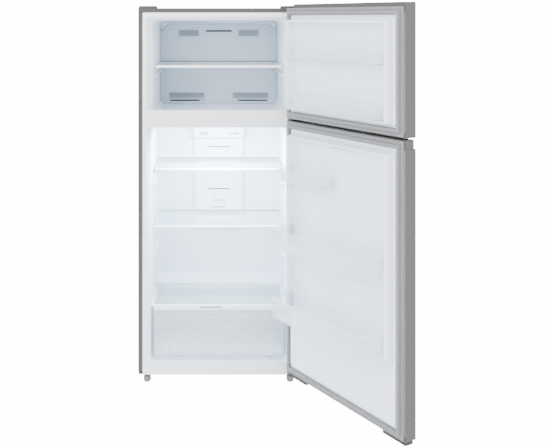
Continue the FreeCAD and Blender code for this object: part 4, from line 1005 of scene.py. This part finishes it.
# %% [markdown]
# The humidity slider runs in a slot of the crisper cover's front bar. The slot's back is in shade.

# %% Slot of the humidity slider
bar_low = above_front("crisper_cover_frame")[0]
SLOT_BACK = bar_low.y + 8.2
slot_shade = (spot(-86, SLOT_BACK, bar_low.z + 7), spot(86, SLOT_BACK + 1, bar_low.z + 16), 0.2 * MM)
finish_piece(merged_blocks("humidity_slot_shade", [slot_shade]), "cabinet", "trim_white", material=SHADOW)
print("slot back", round(SLOT_BACK, 1), "mm behind the front")

# %% [markdown]
# ## Shelves
# Each pane of toughened glass shows green along its polished edge, where light travels the long way
# through it, and is almost clear face on. So the pane takes two finishes: the faces that point up or
# down are clear, and the narrow edges are tinted.


# %% Glass panes
def glass_pane(node):
    """A pane whose narrow edges wear the tinted finish."""
    pane = softened(node, 0.7 * MM)
    pane.data.materials.append(GLASS_EDGE.material)
    for face in pane.data.polygons:
        if abs(face.normal.z) < 0.7:
            face.material_index = 1
    return pane


PANES = ("upper_shelf_glass", "lower_shelf_glass", "freezer_shelf_glass", "crisper_cover_glass")
for node in PANES:
    glass_pane(node)
print("panes", len(PANES))

# %% [markdown]
# ## The crisper drawer
# A drawer is moulded in one shot: thin walls with draft, round corners so that it wipes clean, a rolled
# rim, and ribs on its face. The loft runs up the outside, over the rim and down the inside.

# %% Drawer shell
drawer_low, drawer_high = above_front("crisper_drawer")
DRAWER_PROFILE = (
    (9, 0), (4, 0.8), (2, 4), (1.2, 12), (0.6, -15), (0, -12), (0, -1.2), (0.8, 0), (2.4, 0), (3.2, -1.0),
    (3.4, -12), (4.2, 14), (6, 6), (11, 3),
)


def bright_rim(shell, low, high):
    """The rim of a clear tray, where light gathers, wears a painted highlight, and its foot wears painted
    shade.
    """
    shell.data.materials.append(BIN_HIGHLIGHT.material)
    shell.data.materials.append(BIN_SHADE.material)
    for face in shell.data.polygons:
        if face.center.z > high:
            face.material_index = 1
        elif face.center.z < low and abs(face.normal.z) < 0.9:
            face.material_index = 2


def drawer_ring(inset, height):
    level = drawer_high.z + height if height < 0 or (inset in (0.8, 2.4)) else drawer_low.z + height
    ring = rounded_ring(
        drawer_low.x + inset, drawer_high.x - inset, drawer_low.y + inset, drawer_high.y - inset,
        max(3.0, 15 - inset), 8,
    )
    return [spot(x, y, level) for x, y in ring]


drawer = loft("crisper_shell", [drawer_ring(inset, height) for inset, height in DRAWER_PROFILE])
# The drawer's shell wears the lighter, bluer copy of the clear plastic, which is painted light.
finish_piece(sharp_by_angle(drawer, 60), "crisper", "bin_clear", "crisper_drawer", material=DRAWER_CLEAR_LIT)
bright_rim(drawer, (drawer_low.z + 6) * MM, (drawer_high.z - 4) * MM)
print("drawer faces", len(drawer.data.polygons))

# %% [markdown]
# Ribs across the drawer's face stiffen it and catch the light, a rim runs round the finger hole, and
# ribs under the floor keep the food out of the wet. The face ribs, the rim and the lip under it wear a
# painted highlight.

# %% Ribs and pull of the drawer
FACE = drawer_low.y
RIBS = ((250, 174, 2), (262, 161, 2), (250, 137, 2.4), (262, 121, 2.4), (270, 108, 2.4))
for index, (half, height, tall) in enumerate(RIBS):
    rib = [(spot(-half, FACE - 0.7, height), spot(half, FACE + 1.6, height + tall), 0.5 * MM)]
    finish_piece(merged_blocks(f"crisper_rib_{index}", rib), "crisper", "bin_clear", material=BIN_HIGHLIGHT)
pull_rings = []
for outward, forward in ((3, 1.4), (3, -1.6), (1.8, -2.6), (0.4, -2.6), (-0.8, -1.2), (-0.8, 1.4)):
    ring = rounded_ring(-42 - outward, 62 + outward, 232 - outward, 273 + outward, 8 + outward, 6)
    pull_rings.append([spot(x, FACE + forward, z) for x, z in ring])
pull = sharp_by_angle(loft("crisper_pull", pull_rings, closed=True))
finish_piece(pull, "crisper", "bin_clear", material=BIN_HIGHLIGHT)
lip = [(spot(-64, FACE - 5, 219), spot(89, FACE + 1.5, 222), 1.0 * MM)]
finish_piece(merged_blocks("crisper_pull_lip", lip), "crisper", "bin_clear", material=BIN_HIGHLIGHT)
louvre_row(
    "crisper_floor_ribs", spot(-210, (drawer_low.y + drawer_high.y) / 2, drawer_low.z + 3.4),
    (30 * MM, 0, 0), (2.2 * MM, 225 * MM, 1.6 * MM), 15, "bin_clear", body="crisper",
)
print("face ribs", len(RIBS))

# %% [markdown]
# ## Door liners
# The inside of a door is one sheet drawn over a mould: a low step inside the gasket, tall borders that
# reach into the cabinet and carry the bins, and a shallow field between them. The height of each point
# follows from its distance to a few rounded rectangles, so the sheet is a grid with a rule.


# %% Height rules
def distance_inside(across, height, low_a, high_a, low_z, high_z, radius):
    """How far a point lies inside a rounded rectangle; negative outside."""
    out_a = max(low_a + radius - across, across - (high_a - radius))
    out_z = max(low_z + radius - height, height - (high_z - radius))
    return radius - min(max(out_a, out_z), 0) - math.hypot(max(out_a, 0), max(out_z, 0))


def ramp(value, start, end):
    """0 before start, 1 after end, and a smooth curve between."""
    share = min(1.0, max(0.0, (value - start) / (end - start)))
    return share * share * (3 - 2 * share)


def stations(stretches):
    """Positions along one direction: each stretch has a start, an end and a spacing."""
    places = []
    for start, end, gap in stretches:
        count = max(1, round((end - start) / gap))
        places += [start + (end - start) * index / count for index in range(count)]
    return places + [stretches[-1][1]]


STEP_EDGE, STEP_HEIGHT, FIELD_HEIGHT = 37.0, 10.0, 4.0
BORDER_EDGE, BORDER_LEAN, BORDER_INNER, BORDER_HEIGHT = 45.0, 12.0, 17.0, 47.0
WIDE = DOOR_WIDTH / MM
print("door", WIDE, "mm wide")

# %% [markdown]
# The grid is fine where the height changes quickly and coarse where it is flat, which keeps the sheet
# light. Its rim is closed with a strip and a back, and the outermost strip wears the door's grey.


# %% The sheet of one door
def door_sheet(name, low, high, step_low, step_high, border_low, border_high, end_slant, rib):
    """A drawn door liner; end_slant fades the border out at the bottom, None closes the frame."""
    across = stations([
        (2, 5, 3), (5, 34, 15), (34, 48, 1.4), (48, 75, 1.5), (75, WIDE - 75, 22),
        (WIDE - 75, WIDE - 48, 1.5), (WIDE - 48, WIDE - 34, 1.4), (WIDE - 34, WIDE - 5, 15),
        (WIDE - 5, WIDE - 2, 3),
    ])
    ends = [(low + 2, low + 5, 3), (low + 5, step_low - 3, 16), (step_low - 3, step_low + 40, 1.7)]
    if end_slant:
        ends += [(step_low + 40, end_slant[0] - 6, 24), (end_slant[0] - 6, end_slant[1] + 6, 3)]
        ends += [(end_slant[1] + 6, border_high - 50, 22)]
    else:
        ends += [(step_low + 40, border_high - 50, 22)]
    ends += [(border_high - 50, step_high + 3, 1.6), (step_high + 3, high - 5, 16), (high - 5, high - 2, 3)]
    heights = stations(ends)

    def rise(a, z):
        step = distance_inside(a, z, STEP_EDGE, WIDE - STEP_EDGE, step_low, step_high, 14)
        field_low = step_low + 26 if end_slant else border_low
        field_edge = BORDER_EDGE + 20
        field = distance_inside(a, z, field_edge, WIDE - field_edge, field_low, border_high - 20, 12)
        level = 2 + (STEP_HEIGHT - 2) * ramp(step, 0, 4) - (STEP_HEIGHT - FIELD_HEIGHT) * ramp(field, 0, 5)
        bottom = -400 if end_slant else border_low
        edge = distance_inside(a, z, BORDER_EDGE, WIDE - BORDER_EDGE, bottom, border_high, 20)
        border = BORDER_HEIGHT * ramp(edge, -1, BORDER_LEAN)
        border *= 1 - ramp(edge, BORDER_INNER - 1, BORDER_INNER + 3)
        if end_slant:
            border *= ramp(z, *end_slant)
        if rib:
            inside = distance_inside(a, z, WIDE / 2 - rib[0], WIDE / 2 + rib[0], rib[1], rib[2], 10)
            level += 7 * ramp(inside, 0, 6)
        return max(level, border)

    vertices = [at_door(a * MM, rise(a, z) * MM, z * MM) for z in heights for a in across]
    columns, rows = len(across), len(heights)
    faces = [
        (start, start + 1, start + columns + 1, start + columns)
        for row in range(rows - 1) for start in range(row * columns, (row + 1) * columns - 1)
    ]
    rim = list(range(columns)) + [row * columns + columns - 1 for row in range(1, rows)]
    rim += [(rows - 1) * columns + col for col in range(columns - 2, -1, -1)]
    rim += [row * columns for row in range(rows - 2, 0, -1)]
    base = len(vertices)
    for index in rim:
        a, z = across[index % columns], heights[index // columns]
        vertices.append(at_door(a * MM, 0.1 * MM, z * MM))
    for index in range(len(rim)):
        after = (index + 1) % len(rim)
        faces.append((rim[index], base + index, base + after, rim[after]))
    faces.append(tuple(range(base, base + len(rim))))
    sheet = sharp_by_angle(new_piece(name, vertices, faces), 60)
    sheet.data.materials.append(FINISHES["liner_white"].material)
    sheet.data.materials.append(FINISHES["cap_grey"].material)
    for face in sheet.data.polygons:
        middle = DOOR_PLACE.inverted() @ face.center
        edge = HINGE_INSET - middle.x
        if min(edge, DOOR_WIDTH - edge, middle.z - low * MM, high * MM - middle.z) < 5 * MM:
            face.material_index = 1
    return sheet


print("sheet rule ready")

# %% [markdown]
# Both doors use the rule. The fridge door's border fades out above the lowest bin, and a flat rib
# parts the two halves of its upper field; the freezer door's border is a closed frame.

# %% Draw both door liners
fridge_skin_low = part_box("fridge_door_skin")[0].z / MM
fridge_grip_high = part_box("fridge_door_grip")[1].z / MM
freezer_skin_low, freezer_skin_high = (corner.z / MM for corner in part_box("freezer_door_skin"))
fridge_sheet = door_sheet(
    "fridge_door_sheet", fridge_skin_low, fridge_grip_high, step_low=114, step_high=1104.5,
    border_low=350, border_high=1104.5, end_slant=(324, 362), rib=(42, 824, 1078),
)
finish_piece(fridge_sheet, "fridge_door", "liner_white", "fridge_door_liner")
freezer_sheet = door_sheet(
    "freezer_door_sheet", freezer_skin_low, high=1629.0, step_low=1195, step_high=1592,
    border_low=1196, border_high=1587, end_slant=None, rib=None,
)
finish_piece(freezer_sheet, "freezer_door", "liner_white", "freezer_door_liner")
print("sheet faces", len(fridge_sheet.data.polygons), len(freezer_sheet.data.polygons))

# %% [markdown]
# The fridge door's grip stands back from its face. On the step between them the steel folds inwards and
# covers the foam, following the door's rounded front corners.

# %% The folded step under the grip
DOOR_FRONT, GRIP_FRONT, DOOR_CORNER, FOLD_THICK = -57.0, -47.0, 6.0, 0.8
FOLD_INSET = 0.3
fold_outline = [(WIDE - FOLD_INSET, GRIP_FRONT + 0.5), (FOLD_INSET, GRIP_FRONT + 0.5)]
reach = DOOR_CORNER - FOLD_INSET
for corner, side, angles in (
    (DOOR_CORNER, -1, range(0, 91, 15)), (WIDE - DOOR_CORNER, 1, range(90, -1, -15)),
):
    for angle in map(math.radians, angles):
        forward = DOOR_FRONT + DOOR_CORNER - reach * math.sin(angle)
        fold_outline.append((corner + side * reach * math.cos(angle), forward))
fold_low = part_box("fridge_door_skin")[1].z
fold = loft("fridge_door_fold", [
    [at_door(a * MM, b * MM, level) for a, b in fold_outline]
    for level in (fold_low, fold_low + FOLD_THICK * MM)
])
finish_piece(sharp_by_angle(fold), "fridge_door", "silver_paint", material=DOOR_STEEL)
print("fold points", len(fold_outline))

# %% [markdown]
# ## Gaskets
# A door seal is an extrusion: a dart that clips into the door, bellows that fold as the door closes,
# and a tube that holds the magnet. Its section is carried round the door and mitred at the corners.

# %% Seal section and sweep
SEAL = (
    (4, 2), (4, 4.2), (5, 5), (12, 5.2), (14, 6.6), (16, 5.2), (18.6, 6), (17.6, 8), (19, 9.6), (18.2, 11.6),
    (18.8, 14.2), (19.8, 14.7), (29.2, 14.7), (30.2, 14.2), (30.8, 11.6), (30.0, 9.6), (31.4, 8), (30.4, 6),
    (32, 5.2), (34, 5), (34.4, 3.5), (34, 2),
)


SEAL_DROP = 12.5


def door_seal(door, low, high):
    """The section carried round a door; each point of it makes one ring of four corners."""
    rings = []
    for inset, inward in SEAL:
        near, far, foot, head = inset, WIDE - inset, low + inset, high - inset
        ring = ((near, foot), (far, foot), (far, head), (near, head))
        rings.append([at_door(a * MM, inward * MM, z * MM) for a, z in ring])
    seal = sharp_by_angle(loft(f"{door}_seal", rings, closed=True), 50)
    return finish_piece(seal, f"{door}_door", "gasket", f"{door}_door_gasket")


seals = [
    door_seal("fridge", fridge_skin_low, fridge_grip_high),
    door_seal("freezer", freezer_skin_low, freezer_skin_high - SEAL_DROP),
]
print("seal faces", [len(seal.data.polygons) for seal in seals])

# %% [markdown]
# ## Door bins
# A bin is a clear tray that narrows away from the door. The wall has draft, the rim is thicker and
# catches the light, which is painted on it as a highlight, and each end has a lug that drops over the
# liner's border.


# %% Bin section
BIN_STEPS = 5


def bin_ring(low_a, high_a, lean, back, front, inset, radius):
    """A trapezoid with rounded corners, shrunk by inset, as (across, inward) points."""
    outline = (
        (low_a + inset, back + inset), (high_a - inset, back + inset),
        (high_a - lean - inset, front - inset), (low_a + lean + inset, front - inset),
    )
    points = []
    for index, corner in enumerate(outline):
        here = Vector(corner)
        before, after = Vector(outline[index - 1]), Vector(outline[(index + 1) % 4])
        start = here + (before - here).normalized() * radius
        end = here + (after - here).normalized() * radius
        for step in range(BIN_STEPS + 1):
            t = step / BIN_STEPS
            points.append(start * (1 - t) ** 2 + here * 2 * t * (1 - t) + end * t ** 2)
    return points


BIN_PROFILE = (
    (9, 0, 0), (4, 0, 0.6), (2.2, 0, 3), (1.6, 0, 8), (1.0, 1, -9), (0.1, 1, -7.5), (0.1, 1, -1.4),
    (0.7, 1, 0), (2.7, 1, 0), (3.3, 1, -1.4), (3.4, 1, -9), (4.2, 0, 9), (6, 0, 4.4), (11, 0, 2.6),
)
print("bin section", len(BIN_PROFILE), "rings")

# %% [markdown]
# Each row of the section says how far the ring is shrunk, whether its height counts from the rim or from
# the floor, and that height. Lugs and two beads along the front are blocks on the same door.


# %% Make the bins
def door_bin(name, node, body, low_a, high_a, lean, front):
    """One bin: its shell, the two lugs that hold it and two beads along its front."""
    low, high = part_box(node)
    bottom, top = low.z / MM, high.z / MM
    rings = []
    for inset, from_top, offset in BIN_PROFILE:
        level = (top if from_top else bottom) + offset
        ring = bin_ring(low_a, high_a, lean, BIN_BACK, front, inset, max(4.0, 11 - inset))
        rings.append([at_door(p.x * MM, p.y * MM, level * MM) for p in ring])
    shell = loft(name, rings)
    finish_piece(sharp_by_angle(shell, 60), body, "bin_clear", node)
    bright_rim(shell, (bottom + 5) * MM, (top - 3) * MM)
    lugs = []
    for side, edge in ((1, low_a), (-1, high_a)):
        near, far = sorted((edge + side * 4.5, edge + side * 10))
        lug_low = Vector((near, BIN_BACK + 1, bottom + 10)) * MM
        lugs.append((lug_low, Vector((far, BIN_BACK + 16, top - 10)) * MM, 1.2 * MM))
    finish_piece(merged_blocks(f"{name}_lugs", lugs, at_door), body, "bin_clear")
    # The beads along the front wear a painted highlight.
    beads = []
    for share in (0.38, 0.62):
        level = bottom + (top - bottom) * share
        bead_low = Vector((low_a + lean + 16, front - 1.2, level - 0.9)) * MM
        beads.append((bead_low, Vector((high_a - lean - 16, front, level + 0.9)) * MM, 0.4 * MM))
    finish_piece(merged_blocks(f"{name}_beads", beads, at_door), body, "bin_clear", material=BIN_HIGHLIGHT)
    return shell


BIN_NEAR, BIN_FAR, BIN_BACK = 64.0, WIDE - 64.0, 20
BINS = (
    ("freezer", "upper", BIN_FAR, 18, 75), ("freezer", "lower", BIN_FAR, 18, 75),
    ("fridge", "small", WIDE / 2 - 10.5, 18, 104), ("fridge", "middle", BIN_FAR, 34, 150),
    ("fridge", "lower", BIN_FAR, 34, 150),
)
for door, which, far, lean, front in BINS:
    names = (f"{door}_tray_{which}", f"{door}_bin_{which}", f"bin_{door}_{which}")
    made = door_bin(*names, BIN_NEAR, far, lean, front)
print("bins", len(BINS), "faces each", len(made.data.polygons))

# %% [markdown]
# ## Screws
# Pan head screws with a cross recess hold the hinges and the rear cover. The tree puts one head on each
# point that it is given and turns it to face outwards.

# %% Place the screws
hinge_low, hinge_high = above_front("middle_hinge")
hinge_middle = (hinge_low.z + hinge_high.z) / 2
rear_low, rear_high = above_front("rear_cover")
SIDE = HALF_WIDTH / MM
front_points = [
    spot(SIDE - inset, -2.6, hinge_middle + side * 11) for inset in (40, 10) for side in (-1, 1)
]
front_points += [spot(SIDE - inset, -3.1, 46) for inset in (44, 12)]
rear_points = [
    spot(column * (SIDE - 20) / 2, rear_high.y, height)
    for column in (-2, -1, 0, 1, 2) for height in (rear_low.z + 10, rear_high.z - 10)
]
SCREW = {"Radius": 0.0042, "Finish": FINISHES["screw_steel"].material, "Slot": SHADOW.material}
front_screws = run_tree("front_screws", screws, {**SCREW, "Turn": (math.pi / 2, 0, 0)}, front_points)
rear_screws = run_tree("rear_screws", screws, {**SCREW, "Turn": (-math.pi / 2, 0, 0)}, rear_points)
finish_piece(front_screws, "cabinet", "screw_steel", "cabinet_screws")
finish_piece(rear_screws, "cabinet", "screw_steel")
print("screws", len(front_points) + len(rear_points))

# %% [markdown]
# ## The back
# The rear panel is a thin sheet stiffened by pressed beads, and the machine room's cover has louvres that
# throw its warm air out. Both are seen when the refrigerator is turned round.

# %% Pressed beads and rear louvres
back_low, back_high = above_front("back_panel")
softened("back_panel", 0.3 * MM)
beads = []
for x in (-200, 0, 200):
    bead_low = spot(x - 9, back_high.y - 0.6, back_low.z + 90)
    beads.append((bead_low, spot(x + 9, back_high.y + 1.2, back_high.z - 90), 0.8 * MM))
finish_piece(merged_blocks("back_beads", beads), "cabinet", "zinc_steel")
for column in range(-3, 4):
    louvre_row(
        f"rear_louvre_{column + 3}", spot(column * 80, rear_high.y + 0.6, rear_low.z + 76),
        (0, 0, 24 * MM), (60 * MM, 2.6 * MM, 1.0 * MM), 6, "zinc_steel", math.radians(35),
    )
print("beads", len(beads))

# %% [markdown]
# Inside the machine room the base rails have lips that reach the cabinet's sides, so no light comes up
# from the floor and through the louvres.

# %% Lips of the base rails
RAIL_OUTSIDE, SHEET, RAIL_TOP = 18, 1.5, 53
lip_front, lip_rear = back_high.y - 270, back_high.y - 6
lips = []
for near, far in ((SHEET - SIDE, RAIL_OUTSIDE + 3 - SIDE), (SIDE - RAIL_OUTSIDE - 3, SIDE - SHEET)):
    lips.append((spot(near, lip_front, RAIL_TOP), spot(far, lip_rear, RAIL_TOP + 1.2), 0.4 * MM))
finish_piece(merged_blocks("rail_lips", lips), "cabinet", "base_steel")
print("lips", len(lips))
